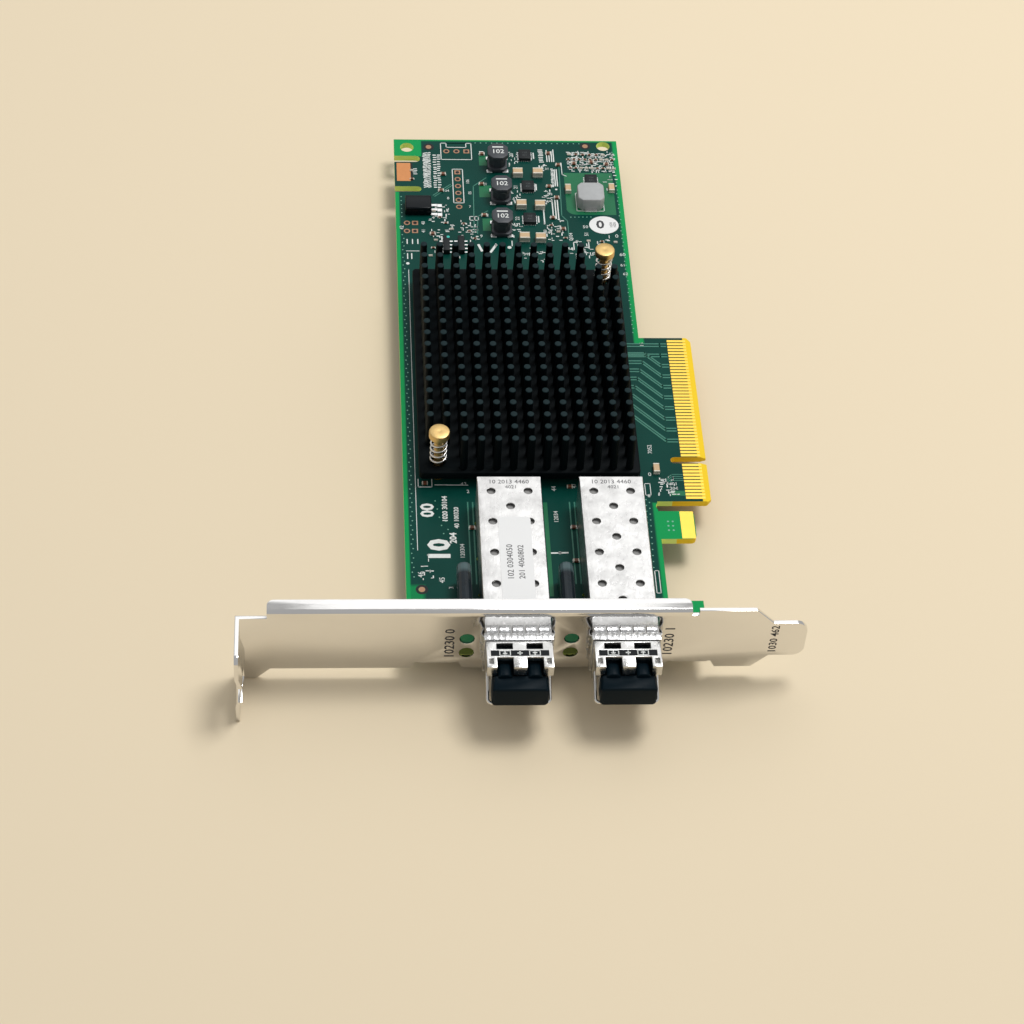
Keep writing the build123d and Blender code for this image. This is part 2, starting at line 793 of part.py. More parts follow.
def bail(port_x):
    """A wire loop: two stubs in the nose, two arms and the bar that a finger pulls."""
    pivot_y, pivot_z = bail_pivot
    end_y, end_z = pivot_y + bail_reach[0], pivot_z + bail_reach[1]
    port_side = port_pitch / 2 + port_width / 2
    tip = port_side + bail_stub_tip
    arm = bail_arm_x
    points = (
        (-tip, pivot_y, pivot_z), (-arm, pivot_y, pivot_z), (-arm, end_y, end_z),
        (arm, end_y, end_z), (arm, pivot_y, pivot_z), (tip, pivot_y, pivot_z),
    )
    radii = (bail_stub_bend, bail_bend, bail_bend, bail_stub_bend)
    path = Polyline(*bent_wire_points(points, radii))
    start = Plane(origin=points[0], z_dir=(-1, 0, 0))
    wire = sweep(start * RegularPolygon(bail_wire, wire_sides), path=path, transition=Transition.RIGHT)
    return Pos(port_x, 0, 0) * wire


def dust_plug(port_x):
    """A moulded plug with a grip block and two hollow lobes."""
    rear = nose_front_y - plug_gap
    half = plug_width / 2
    grip = block((-half, half), (rear - plug_length, rear), (plug_bottom, plug_bottom + plug_height))
    grip = chamfer(grip.edges().filter_by(Axis.Y), plug_edge)
    grip = chamfer(grip.edges().group_by(Axis.Y)[0], plug_edge / 2)
    plug = grip
    lobe_x = port_width / 2 - lobe_clearance
    lobe_z = port_height / 2 - lobe_clearance
    for side in (-1, 1):
        x = side * port_pitch / 2
        along = (rear - 1, rear + lobe_length)
        plug += block((x - lobe_x, x + lobe_x), along, (port_axis_z - lobe_z, port_axis_z + lobe_z))
        ridge = block(
            (x - lobe_ridge_width / 2, x + lobe_ridge_width / 2),
            (rear - 0.5, bridge_front_y - lobe_clearance),
            (port_axis_z, lobe_ridge_top),
        )
        ridge = chamfer(ridge.edges().filter_by(Axis.Y).group_by(Axis.Z)[-1], lobe_ridge_cut)
        plug += ridge
    for side in (-1, 1):
        x = side * port_pitch / 2
        depth = window_rear_y - barrel_reach - 1.0
        plug -= bore_y(x, port_axis_z, lobe_bore, depth, rear + lobe_length + 1)
    return Pos(port_x, 0, 0) * plug


def sink_pin_places():
    """Every pin of the heat sink, without the four at each push pin."""
    x0 = sink_centre[0] - (sink_columns - 1) / 2 * sink_pin_pitch
    y0 = sink_centre[1] - (sink_rows - 1) / 2 * sink_pin_pitch
    places = []
    for column in range(sink_columns):
        for row in range(sink_rows):
            near_corner = column < 2 and row < 2
            far_corner = column >= sink_columns - 2 and row >= sink_rows - 2
            if not near_corner and not far_corner:
                places.append((x0 + column * sink_pin_pitch, y0 + row * sink_pin_pitch))
    return places


def heat_sink():
    """One forged piece: a base plate with tapered pins."""
    base_top = sink_underside + sink_base
    base = centred(sink_centre, (sink_width, sink_length, sink_base), sink_underside)
    base = chamfer(base.edges().filter_by(Axis.Z), sink_corner)
    base -= [prism(place, push_pin_hole, sink_underside - 1, base_top + 1) for place in push_pin_places()]
    section = RegularPolygon(sink_pin_radius, sink_pin_sides)
    pin = extrude(section, amount=sink_top - base_top, taper=sink_pin_taper)
    pins = [Pos(x, y, base_top) * pin for x, y in sink_pin_places()]
    return base + pins


def controller_chip():
    return centred(sink_centre, (chip_size, chip_size, chip_height))


def thermal_pad():
    return centred(sink_centre, (pad_size, pad_size, sink_underside - chip_height), chip_height)


def push_pin(place):
    """A turned pin: a wide head, a shaft through sink and board, and a barb below."""
    head_radius, head_height = push_pin_head
    barb_radius, barb_height = push_pin_barb
    under = board_under - 0.2
    head = prism(place, head_radius, push_pin_top - head_height, push_pin_top, round_sides)
    shaft = prism(place, push_pin_shaft, under, push_pin_top - head_height)
    slope = math.degrees(math.atan((barb_radius - push_pin_tip) / barb_height))
    barb = extrude(RegularPolygon(barb_radius, small_round_sides), amount=-barb_height, taper=slope)
    return head + shaft + Pos(place[0], place[1], under) * barb


def pin_spring(place):
    """The coil spring between a push pin's head and the heat sink."""
    low = sink_underside + sink_base + spring_wire
    high = push_pin_top - push_pin_head[1] - spring_wire
    height = high - low
    steps = round(spring_turns * spring_steps)
    points = []
    for step in range(steps + 1):
        angle = 2 * math.pi * step / spring_steps
        rise = height * step / steps
        points.append((spring_radius * math.cos(angle), spring_radius * math.sin(angle), rise))
    path = Polyline(*points)
    start = Plane(origin=path @ 0, z_dir=path % 0)
    wire = sweep(start * RegularPolygon(spring_wire, spring_sides), path=path, transition=Transition.RIGHT)
    return Pos(place[0], place[1], low) * wire


def cut_corner_box(place, size, cut, base=0.0):
    """A box with its four upright edges cut off."""
    body = centred(place, size, base)
    return chamfer(body.edges().filter_by(Axis.Z), cut)


def power_inductors():
    width, length, height = inductor_size
    solids = []
    for place in inductor_places:
        foot = centred(place, (width, length, height * 0.25))
        drum = cut_corner_box(place, inductor_size, inductor_cut)
        solids.append(foot + drum)
    return Compound(solids)


def grey_inductor():
    body = cut_corner_box(grey_inductor_place, grey_inductor_size, grey_inductor_cut)
    return body


def regulator_chips():
    return Compound([centred(place, regulator_size) for place in regulator_places])


def power_switch():
    """A black leaded part with three flat leads."""
    x, y = switch_place
    width, length, height = switch_size
    body = centred(switch_place, (width, length, height - 0.2), 0.2)
    lead_width, lead_length, lead_height = lead_size
    start = x + width / 2
    leads = []
    for row in lead_rows:
        middle = (start + lead_width / 2, y + row)
        leads.append(centred(middle, (lead_width, lead_length, lead_height)))
    return body + leads


def memory_chips():
    return Compound([centred(place, memory_size) for place in memory_places])


def ceramic_capacitors():
    tan = [centred(place, tan_capacitor_size) for place in tan_capacitor_places]
    upright = [centred(place, upright_capacitor_size) for place in upright_capacitor_places]
    return Compound(tan + upright)


def small_components():
    return Compound([centred(place, small_part_size) for place in small_part_places])


def cage_label():
    """A blank paper label on the first cage."""
    width, length = cage_label_size
    x = port_centres[0] + cage_label_side
    y = bracket_back_y + cage_label_front + length / 2
    return centred((x, y), (width, length, label_thickness), cage_height)


def board_sticker():
    """A blank round label beside the power parts."""
    return prism(sticker_place, sticker_radius, 0, label_thickness, round_sides)


def build_parts():
    """Every piece by its node name."""
    front, rear = push_pin_places()
    parts = {
        "circuit_board": circuit_board(),
        "edge_contacts": edge_contacts(),
        "mounting_bracket": mounting_bracket(),
        "bracket_screws": bracket_screws(),
        "status_lamps": status_lamps(),
        "heat_sink": heat_sink(),
        "thermal_pad": thermal_pad(),
        "controller_chip": controller_chip(),
        "push_pin_front": push_pin(front),
        "push_pin_rear": push_pin(rear),
        "pin_spring_front": pin_spring(front),
        "pin_spring_rear": pin_spring(rear),
        "power_inductors": power_inductors(),
        "grey_inductor": grey_inductor(),
        "regulator_chips": regulator_chips(),
        "power_switch": power_switch(),
        "memory_chips": memory_chips(),
        "ceramic_capacitors": ceramic_capacitors(),
        "small_components": small_components(),
        "cage_label": cage_label(),
        "board_sticker": board_sticker(),
    }
    for number, pipe_x in enumerate(pipe_centres):
        parts[f"light_pipe_{number}"] = light_pipe(pipe_x)
    for number, port_x in enumerate(port_centres):
        parts[f"cage_{number}"] = cage(port_x)
        parts[f"cage_collar_{number}"] = cage_collar(port_x)
        parts[f"port_connector_{number}"] = port_connector(port_x)
        parts[f"transceiver_housing_{number}"] = transceiver_housing(port_x)
        parts[f"marker_strip_{number}"] = marker_strip(port_x)
        parts[f"transceiver_cover_{number}"] = transceiver_cover(port_x)
        parts[f"transceiver_board_{number}"] = transceiver_board(port_x)
        parts[f"optical_barrels_{number}"] = optical_barrels(port_x)
        parts[f"latch_lever_{number}"] = latch_lever(port_x)
        parts[f"bail_{number}"] = bail(port_x)
        parts[f"dust_plug_{number}"] = dust_plug(port_x)
    return parts


def write_parts(parts):
    """Move the origin to the bottom centre of the whole card and write one file a piece."""
    os.makedirs("parts", exist_ok=True)
    boxes = [piece.bounding_box() for piece in parts.values()]
    centre_x = (min(box.min.X for box in boxes) + max(box.max.X for box in boxes)) / 2
    centre_y = (min(box.min.Y for box in boxes) + max(box.max.Y for box in boxes)) / 2
    bottom = min(box.min.Z for box in boxes)
    shift = Pos(-centre_x, -centre_y, -bottom)
    for name, piece in parts.items():
        export_step(shift * piece, f"parts/{name}.step")
    print("origin moved by", round(-centre_x, 4), round(-centre_y, 4), round(-bottom, 4))


write_parts(build_parts())
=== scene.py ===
# %% [markdown]
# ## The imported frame
# The solids of the adapter card come in as a fixed frame. Every node already stands at its real place,
# in metres. Nothing in it is moved: a solid either gets a better material, or a finer piece stands for it.

# %% Load the frame
import math
import random

import bmesh
import bpy
from mathutils import Matrix, Vector


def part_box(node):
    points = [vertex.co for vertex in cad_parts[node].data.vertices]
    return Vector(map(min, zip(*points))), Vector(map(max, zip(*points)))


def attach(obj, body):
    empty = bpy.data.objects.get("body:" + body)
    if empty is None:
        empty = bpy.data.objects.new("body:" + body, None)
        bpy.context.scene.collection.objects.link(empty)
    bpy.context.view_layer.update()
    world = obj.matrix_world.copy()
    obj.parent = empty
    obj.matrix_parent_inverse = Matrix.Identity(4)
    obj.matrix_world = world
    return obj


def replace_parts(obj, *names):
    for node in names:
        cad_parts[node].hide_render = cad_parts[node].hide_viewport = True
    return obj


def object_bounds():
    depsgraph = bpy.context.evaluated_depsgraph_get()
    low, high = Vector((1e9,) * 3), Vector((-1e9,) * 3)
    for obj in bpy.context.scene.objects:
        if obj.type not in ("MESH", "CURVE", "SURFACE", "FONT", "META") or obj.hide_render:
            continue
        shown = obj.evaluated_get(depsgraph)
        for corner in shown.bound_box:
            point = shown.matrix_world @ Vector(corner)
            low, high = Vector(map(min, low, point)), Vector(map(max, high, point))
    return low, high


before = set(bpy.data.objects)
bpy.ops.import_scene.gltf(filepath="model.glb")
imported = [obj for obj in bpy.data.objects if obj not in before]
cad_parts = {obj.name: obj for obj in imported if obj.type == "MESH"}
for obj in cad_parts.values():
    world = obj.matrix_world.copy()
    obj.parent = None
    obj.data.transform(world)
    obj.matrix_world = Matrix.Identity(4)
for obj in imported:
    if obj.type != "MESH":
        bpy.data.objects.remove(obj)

cad_low, cad_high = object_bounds()
print("CAD box", [round(value, 4) for value in (*cad_low, *cad_high)])

# %% [markdown]
# ## The card's own millimetres
# A card is easiest to read in the maker's own terms: millimetres from the corner of the contact tongue,
# with the component face at height zero. The pieces are modelled there, and one matrix puts them in place
# at the end. The board's own box says where that corner is, so nothing has to be fitted by eye.

# %% Card coordinates
MILLIMETRE = 0.001
BOARD_FAR_Y = 123.85
board_low, board_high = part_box("circuit_board")
card_zero = Vector((board_low.x, board_high.y - BOARD_FAR_Y * MILLIMETRE, board_high.z))
card_to_world = Matrix.Translation(card_zero) @ Matrix.Scale(MILLIMETRE, 4)
world_to_card = card_to_world.inverted()
PORTS = (22.8, 45.3)
SIDES = (-1, 1)
BRACKET_FACE_Y = -43.8
CAGE_TOP = 9.8
print("card corner", [round(value, 5) for value in card_zero])

# %% [markdown]
# ## Shader groups
# Several finishes share the same effects: a slow change of tone, a fine grain, and a change of gloss.
# Each effect is a node group with named sockets, built once and placed in every material that needs it.
# They read Object coordinates, because each piece's place is in its mesh, so a pattern never slides.


# %% Tools for node groups
def add_node(tree, kind, inputs=None, **settings):
    """A node with its settings, its unlinked inputs and its links in one call."""
    node = tree.nodes.new(kind)
    for name, value in settings.items():
        setattr(node, name, value)
    for name, value in (inputs or {}).items():
        if isinstance(value, bpy.types.NodeSocket):
            tree.links.new(value, node.inputs[name])
        else:
            node.inputs[name].default_value = value
    return node


def combine(tree, operation, *values, kind="ShaderNodeMath", **settings):
    """What a math node makes of its values."""
    return add_node(tree, kind, dict(enumerate(values)), operation=operation, **settings).outputs[0]


def combine_vectors(tree, operation, *values):
    """What a vector math node makes of its values."""
    return combine(tree, operation, *values, kind="ShaderNodeVectorMath")


def mix_colours(tree, factor, colour, tint):
    """A fixed tint laid over a colour where the factor says."""
    mix = add_node(tree, "ShaderNodeMix", data_type="RGBA")
    tree.links.new(factor, mix.inputs["Factor"])
    tree.links.new(colour, mix.inputs["A"])
    mix.inputs["B"].default_value = (*tint, 1.0)
    return mix.outputs["Result"]


def new_group(name, inputs, outputs):
    """A shader group with named sockets, and its sockets as they are seen inside."""
    group = bpy.data.node_groups.new(name, "ShaderNodeTree")
    for side, sockets in (("INPUT", inputs), ("OUTPUT", outputs)):
        for label, kind in sockets.items():
            group.interface.new_socket(label, in_out=side, socket_type=f"NodeSocket{kind}")
    source = group.nodes.new("NodeGroupInput").outputs
    result = group.nodes.new("NodeGroupOutput").inputs
    return group, source, result


def place_group(tree, group, inputs):
    """What one use of a group puts out."""
    return add_node(tree, "ShaderNodeGroup", inputs, node_tree=group).outputs[0]


# %% [markdown]
# The tone group multiplies a colour by soft noise. Real mask, plastic and plating are never one flat colour,
# and a few percent of drift over some millimetres is enough to show that.

# %% Tone group
tone_group, source, result = new_group(
    "drifting tone", {"Colour": "Color", "Scale": "Float", "Spread": "Float"}, {"Colour": "Color"},
)
place = add_node(tone_group, "ShaderNodeTexCoord").outputs["Object"]
noise = add_node(tone_group, "ShaderNodeTexNoise", {"Vector": place, "Scale": source["Scale"], "Detail": 5.0})
centred = combine(tone_group, "SUBTRACT", noise.outputs["Fac"], 0.5)
swing = combine(tone_group, "MULTIPLY", centred, source["Spread"])
factor = combine(tone_group, "ADD", swing, 1.0)
toned = combine_vectors(tone_group, "MULTIPLY", source["Colour"], factor)
tone_group.links.new(toned, result["Colour"])
print("group", tone_group.name)

# %% [markdown]
# The grain group gives a height for a Bump node and a value for the gloss. Its stretch draws the noise out
# along one direction, which turns an even grain into the brushed lines of rolled sheet.

# %% Grain group
grain_group, source, result = new_group(
    "surface grain", {"Scale": "Float", "Stretch": "Vector"}, {"Height": "Float"},
)
place = add_node(grain_group, "ShaderNodeTexCoord").outputs["Object"]
drawn = combine_vectors(grain_group, "MULTIPLY", place, source["Stretch"])
grain_inputs = {"Vector": drawn, "Scale": source["Scale"], "Detail": 4.0, "Roughness": 0.6}
noise = add_node(grain_group, "ShaderNodeTexNoise", grain_inputs)
grain_group.links.new(noise.outputs["Fac"], result["Height"])
print("group", grain_group.name)

# %% [markdown]
# The region group answers one question: is this point of the surface inside a box given in card millimetres?
# The board's pale corners and edges, where there is no copper inside the laminate, are picked out with it.

# %% Region group
region_group, source, result = new_group(
    "card region", {"Low": "Vector", "High": "Vector", "Softness": "Float"}, {"Mask": "Float"},
)
place = add_node(region_group, "ShaderNodeTexCoord").outputs["Object"]
moved = combine_vectors(region_group, "SUBTRACT", place, tuple(card_zero))
scaled = combine_vectors(region_group, "MULTIPLY", moved, (1 / MILLIMETRE,) * 3)
above = combine_vectors(region_group, "SUBTRACT", scaled, source["Low"])
below = combine_vectors(region_group, "SUBTRACT", source["High"], scaled)
least = combine_vectors(region_group, "MINIMUM", above, below)
parts = add_node(region_group, "ShaderNodeSeparateXYZ", {"Vector": least}).outputs
level_least = combine(region_group, "MINIMUM", parts["X"], parts["Y"])
inside = combine(region_group, "MINIMUM", level_least, parts["Z"])
mask = combine(region_group, "DIVIDE", inside, source["Softness"], use_clamp=True)
region_group.links.new(mask, result["Mask"])
print("group", region_group.name)

# %% [markdown]
# ## Finishes
# Most finishes differ only in their numbers: the colour, the ends of the gloss, the scale and spread of the
# tone, the scale, stretch and depth of the grain, and the share of metal. One function makes those from these
# numbers in this order, and the few with more to them are built on top of what it returns.

# %% The common finish
EVEN = (1.0, 1.0, 1.0)
METAL = 1.0
BUMP_REACH = 0.0001


def link_grain(tree, shader, scale, stretch, depth, gloss):
    """Grain as a bump, and the same grain as a change of gloss."""
    grain = place_group(tree, grain_group, {"Scale": scale, "Stretch": stretch})
    bump = add_node(tree, "ShaderNodeBump", {"Height": grain, "Strength": depth, "Distance": BUMP_REACH})
    tree.links.new(bump.outputs["Normal"], shader.inputs["Normal"])
    low, high = gloss
    spread = {"Value": grain, "From Min": 0.3, "From Max": 0.7, "To Min": low, "To Max": high}
    rough = add_node(tree, "ShaderNodeMapRange", spread)
    tree.links.new(rough.outputs["Result"], shader.inputs["Roughness"])


def finish(name, colour, gloss, tone=(250.0, 0.15), grain=(6000.0, EVEN, 0.15), metallic=0.0, **sockets):
    """A surface with drifting tone, grain and gloss: its material, tree, shader and toned colour."""
    material = bpy.data.materials.new(name)
    material.use_nodes = True
    tree = material.node_tree
    shader = tree.nodes["Principled BSDF"]
    scale, spread = tone
    toned = place_group(tree, tone_group, {"Colour": (*colour, 1.0), "Scale": scale, "Spread": spread})
    tree.links.new(toned, shader.inputs["Base Color"])
    link_grain(tree, shader, *grain, gloss)
    shader.inputs["Metallic"].default_value = metallic
    for socket, value in sockets.items():
        shader.inputs[socket.replace("_", " ")].default_value = value
    return material, tree, shader, toned


def plain_finish(*arguments, **settings):
    """Only the material of a common finish."""
    return finish(*arguments, **settings)[0]


def tint_region(tree, colour, low, high, softness, tint, within=None):
    """Lay a tint over a colour inside a box given in card millimetres."""
    mask = place_group(tree, region_group, {"Low": low, "High": high, "Softness": softness})
    if within:
        mask = combine(tree, "MULTIPLY", mask, within)
    return mix_colours(tree, mask, colour, tint)


print("finishes read", len(bpy.data.node_groups), "groups")

# %% [markdown]
# ## Solder mask
# The board is glass laminate under a dark green mask. Where copper planes lie inside, it looks deep teal, and
# where they stop, at the edges, in the far corner and on the side by the contacts, light comes through and it
# turns bright green. A cut edge has no mask, so it shows the yellowish laminate: the normal picks it out.

# %% Board finish
MASK_TEAL = (0.002, 0.050, 0.038)
MASK_BRIGHT = (0.004, 0.30, 0.080)
LAMINATE_EDGE = (0.74, 0.88, 0.26)
TONGUE_EDGE = (0.88, 0.60, 0.03)
FLAT_NORMAL = 0.95
BRIGHT_REGIONS = (
    ((-1.0, 117.2, -2.0), (7.0, 125.0, 1.0), 0.25),
    ((-1.0, -45.0, -2.0), (1.15, 104.0, 1.0), 0.35),
    ((-1.0, -45.0, -2.0), (4.4, -23.9, 1.0), 1.5),
    ((55.2, 50.0, -2.0), (58.0, 125.0, 1.0), 0.5),
    ((-1.0, 123.1, -2.0), (58.0, 125.0, 1.0), 0.5),
    ((55.3, -45.0, -2.0), (66.0, -0.2, 1.0), 0.5),
)
TONGUE_SIDES = ((60.0, -12.0, -2.0), (70.0, 53.0, 1.0), 0.1)
TONGUE_TIP = ((66.9, -1.0, -2.0), (70.0, 53.0, 1.0), 0.1)
board_mask, tree, shader, colour = finish(
    "board_mask", MASK_TEAL, (0.24, 0.36), (90.0, 0.5), (9000.0, EVEN, 0.08), Specular_IOR_Level=0.08,
)
for low, high, softness in BRIGHT_REGIONS:
    colour = tint_region(tree, colour, low, high, softness, MASK_BRIGHT)
normal = add_node(tree, "ShaderNodeNewGeometry").outputs["Normal"]
facing = add_node(tree, "ShaderNodeSeparateXYZ", {"Vector": normal}).outputs["Z"]
is_edge = combine(tree, "LESS_THAN", combine(tree, "ABSOLUTE", facing), FLAT_NORMAL)
colour = mix_colours(tree, is_edge, colour, LAMINATE_EDGE)
colour = tint_region(tree, colour, *TONGUE_SIDES, TONGUE_EDGE, is_edge)
colour = tint_region(tree, colour, *TONGUE_TIP, TONGUE_EDGE)
tree.links.new(colour, shader.inputs["Base Color"])
print("bright regions", len(BRIGHT_REGIONS))

# %% [markdown]
# ## Metals
# The card carries many metals: bright nickel on the bracket, tinned sheet on the cages, a cast nose, turned
# brass, gold on the contacts, bare copper rings and tinned leads. Each has its own colour and gloss, and the
# rolled sheets get brushed lines by stretching the grain. What is left of the casting inside the cage, seen
# through the vents, counts as less of a metal: a full one would only mirror the dark there.

# %% Metals
BRACKET_LINES = (0.25, 1.0, 1.0)
CAGE_LINES = (1.0, 0.5, 1.0)
nickel = plain_finish(
    "bright_nickel", (0.80, 0.79, 0.775), (0.10, 0.20), (60.0, 0.10), (1500.0, BRACKET_LINES, 0.05), METAL,
)
cage_tin = plain_finish(
    "tinned_sheet", (0.62, 0.615, 0.605), (0.24, 0.40), (260.0, 0.9), (1900.0, CAGE_LINES, 0.7), METAL,
)
spring_sheet = plain_finish(
    "spring_sheet", (0.66, 0.66, 0.66), (0.18, 0.40), (900.0, 0.35), (1700.0, EVEN, 0.9), METAL,
)
bright_wire = plain_finish(
    "bright_wire", (0.78, 0.77, 0.75), (0.15, 0.28), (500.0, 0.2), (5000.0, EVEN, 0.1), METAL,
)
turned_brass = plain_finish(
    "turned_brass", (0.66, 0.46, 0.19), (0.36, 0.5), (700.0, 0.35), (2500.0, EVEN, 0.3), METAL,
)
contact_gold = plain_finish(
    "contact_gold", (0.90, 0.60, 0.10), (0.30, 0.45), (600.0, 0.15), (4000.0, EVEN, 0.1), METAL,
)
solder_tin = plain_finish(
    "solder_tin", (0.80, 0.80, 0.79), (0.20, 0.40), (900.0, 0.2), (5000.0, EVEN, 0.2), METAL,
)
screw_zinc = plain_finish(
    "screw_zinc", (0.66, 0.67, 0.68), (0.24, 0.40), (600.0, 0.2), (4000.0, EVEN, 0.2), METAL,
)
barrel_steel = plain_finish(
    "barrel_steel", (0.66, 0.66, 0.66), (0.25, 0.40), (600.0, 0.15), (4000.0, EVEN, 0.2), METAL,
)
tinned_end = plain_finish(
    "tinned_end", (0.72, 0.68, 0.58), (0.3, 0.48), (900.0, 0.25), (4000.0, EVEN, 0.3), 0.35,
)
ring_copper = plain_finish(
    "ring_copper", (0.40, 0.21, 0.12), (0.4, 0.55), (600.0, 0.3), (4000.0, EVEN, 0.2), 0.3,
)
bare_copper = plain_finish(
    "bare_copper", (0.62, 0.26, 0.09), (0.45, 0.6), (600.0, 0.2), (4000.0, EVEN, 0.15), 0.4,
)
INSIDE_CAGE = {"Low": (0.0, -42.0, 0.0), "High": (60.0, 0.0, 10.0), "Softness": 1.0}
INSIDE_FALL = -0.6
cast_nickel, tree, shader, colour = finish(
    "cast_nickel", (0.58, 0.575, 0.56), (0.14, 0.28), (500.0, 0.35), (3500.0, EVEN, 0.3),
)
inside_cage = place_group(tree, region_group, INSIDE_CAGE)
tree.links.new(combine(tree, "MULTIPLY_ADD", inside_cage, INSIDE_FALL, METAL), shader.inputs["Metallic"])
print("metals made")

# %% [markdown]
# ## Plastics, ceramics and paint
# The heat sink is aluminium with a black anodised skin, which is a thin dark coat and not a dark metal, so it
# stays a dielectric with a soft gloss. Moulded plastics get a fine even grain, and the pressed iron powder of
# the inductors a coarser one. Paint and print are matte, with hardly any drift.

# %% Dark solids
SINK_SKIN = (0.0010, 0.0032, 0.0042)
# The pin tops are painted lighter than the skin: a painted highlight where the flat tops face the light.
PIN_TOP_PAINTED_LIGHT = (0.012, 0.025, 0.028)
PIN_TOP_PAINTED_LIGHT_ZONE = ((0.0, 0.0, 13.75), (60.0, 75.0, 15.0), 0.1)
anodised, tree, shader, colour = finish(
    "anodised_black", SINK_SKIN, (0.5, 0.66), (300.0, 0.5), (5200.0, EVEN, 0.3), Specular_IOR_Level=0.08,
)
# Painted highlight: the zone at the pins' height gets the lighter top colour.
tree.links.new(tint_region(tree, colour, *PIN_TOP_PAINTED_LIGHT_ZONE, PIN_TOP_PAINTED_LIGHT), shader.inputs["Base Color"])
plug_plastic = plain_finish(
    "plug_plastic", (0.0018, 0.0075, 0.0120), (0.36, 0.50), (200.0, 0.3), (4500.0, EVEN, 0.35),
    Specular_IOR_Level=0.08,
)
strip_plastic = plain_finish(
    "strip_plastic", (0.004, 0.006, 0.008), (0.38, 0.5), (800.0, 0.4), (5000.0, EVEN, 0.3),
    Specular_IOR_Level=0.15,
)
chip_resin = plain_finish(
    "chip_resin", (0.006, 0.0095, 0.0110), (0.36, 0.52), (500.0, 0.4), (7000.0, EVEN, 0.35),
    Specular_IOR_Level=0.25,
)
gloss_resin = plain_finish(
    "gloss_resin", (0.003, 0.005, 0.007), (0.14, 0.24), (400.0, 0.3), (6000.0, EVEN, 0.1),
    Specular_IOR_Level=0.15,
)
iron_powder = plain_finish(
    "iron_powder", (0.034, 0.040, 0.048), (0.34, 0.5), (700.0, 0.4), (3600.0, EVEN, 0.5),
)

# %% Pale solids, paint and print
FLAT_GLOSS = (0.5, 0.62)
PRINT_TONE = (1500.0, 0.3)
PRINT_GRAIN = (6000.0, EVEN, 0.2)
white_print = plain_finish("white_print", (0.74, 0.76, 0.73), FLAT_GLOSS, PRINT_TONE, PRINT_GRAIN)
laser_mark = plain_finish("laser_mark", (0.055, 0.065, 0.068), FLAT_GLOSS, PRINT_TONE, PRINT_GRAIN)
dark_print = plain_finish("dark_print", (0.030, 0.030, 0.036), FLAT_GLOSS, PRINT_TONE, PRINT_GRAIN)
turquoise_print = plain_finish("turquoise_print", (0.03, 0.50, 0.42), (0.45, 0.6), (1500.0, 0.2), PRINT_GRAIN)
label_paper = plain_finish("label_paper", (0.80, 0.80, 0.79), FLAT_GLOSS, (120.0, 0.05), (2500.0, EVEN, 0.2))
grey_powder = plain_finish("grey_powder", (0.40, 0.41, 0.41), (0.45, 0.6), (900.0, 0.25), (3600.0, EVEN, 0.5))
tan_ceramic = plain_finish("tan_ceramic", (0.58, 0.40, 0.22), (0.35, 0.5), (900.0, 0.3), (5000.0, EVEN, 0.2))
brown_ceramic = plain_finish(
    "brown_ceramic", (0.16, 0.055, 0.022), (0.35, 0.5), (900.0, 0.3), (5000.0, EVEN, 0.2),
)
via_print = plain_finish("via_tint", (0.16, 0.42, 0.30), (0.28, 0.4), (900.0, 0.3), (8000.0, EVEN, 0.1))
copper_under_mask = plain_finish(
    "copper_under_mask", (0.012, 0.150, 0.062), (0.25, 0.36), (300.0, 0.35), (8000.0, EVEN, 0.1),
    Specular_IOR_Level=0.2,
)
trace_under_mask = plain_finish(
    "trace_under_mask", (0.050, 0.210, 0.150), (0.24, 0.34), (400.0, 0.35), (8000.0, EVEN, 0.1),
    Specular_IOR_Level=0.25,
)
pad_silicone = plain_finish("pad_silicone", (0.30, 0.31, 0.33), (0.6, 0.75), grain=(2500.0, EVEN, 0.4))
lamp_resin = plain_finish("lamp_resin", (0.62, 0.66, 0.55), (0.2, 0.3), grain=(5000.0, EVEN, 0.1))
print("materials so far", len(bpy.data.materials))

# %% [markdown]
# ## Light pipe finish
# Each light pipe is a smoky clear moulding. From above it looks dark grey-blue with paler streaks along it,
# and a paler band lies across it further back.
# The emerald over olive on its two round ends, seen through the bracket, is a painted reflection of the green
# board behind them.
# The ends and the band are picked out by their place on the card, and a streaked grain gives the flow lines.

# %% Light pipe
# The first two tints are painted reflection: the green board seen in the clear ends. The third is a paler
# band further back.
PIPE_TINTS_AND_PAINTED_REFLECTION = (
    ((0.0, -44.5, -2.0), (60.0, -43.0, 9.0), 0.05, (0.012, 0.20, 0.085)),
    ((0.0, -44.5, -2.0), (60.0, -43.0, 2.9), 0.05, (0.075, 0.115, 0.012)),
    ((0.0, -26.4, 0.0), (60.0, -23.0, 9.0), 1.2, (0.075, 0.12, 0.125)),
)
FLOW_LINES = (1.0, 0.06, 1.0)
pipe_clear, tree, shader, colour = finish(
    "smoky_clear", (0.010, 0.017, 0.022), (0.14, 0.26), (900.0, 0.9), (900.0, FLOW_LINES, 0.25),
    Coat_Weight=0.2, Specular_IOR_Level=0.3,
)
for low, high, softness, tint in PIPE_TINTS_AND_PAINTED_REFLECTION:
    colour = tint_region(tree, colour, low, high, softness, tint)
tree.links.new(colour, shader.inputs["Base Color"])
print("light pipe material", pipe_clear.name)

# %% [markdown]
# ## Modelling tools
# Every piece starts in a bmesh, in card millimetres. A copy of a solid is merged first, because its mesh is
# loose triangles, and its flat faces are dissolved back into one face each, so that a bevel runs along real
# edges. At the end one function scales the piece into place and names the body it rides on.


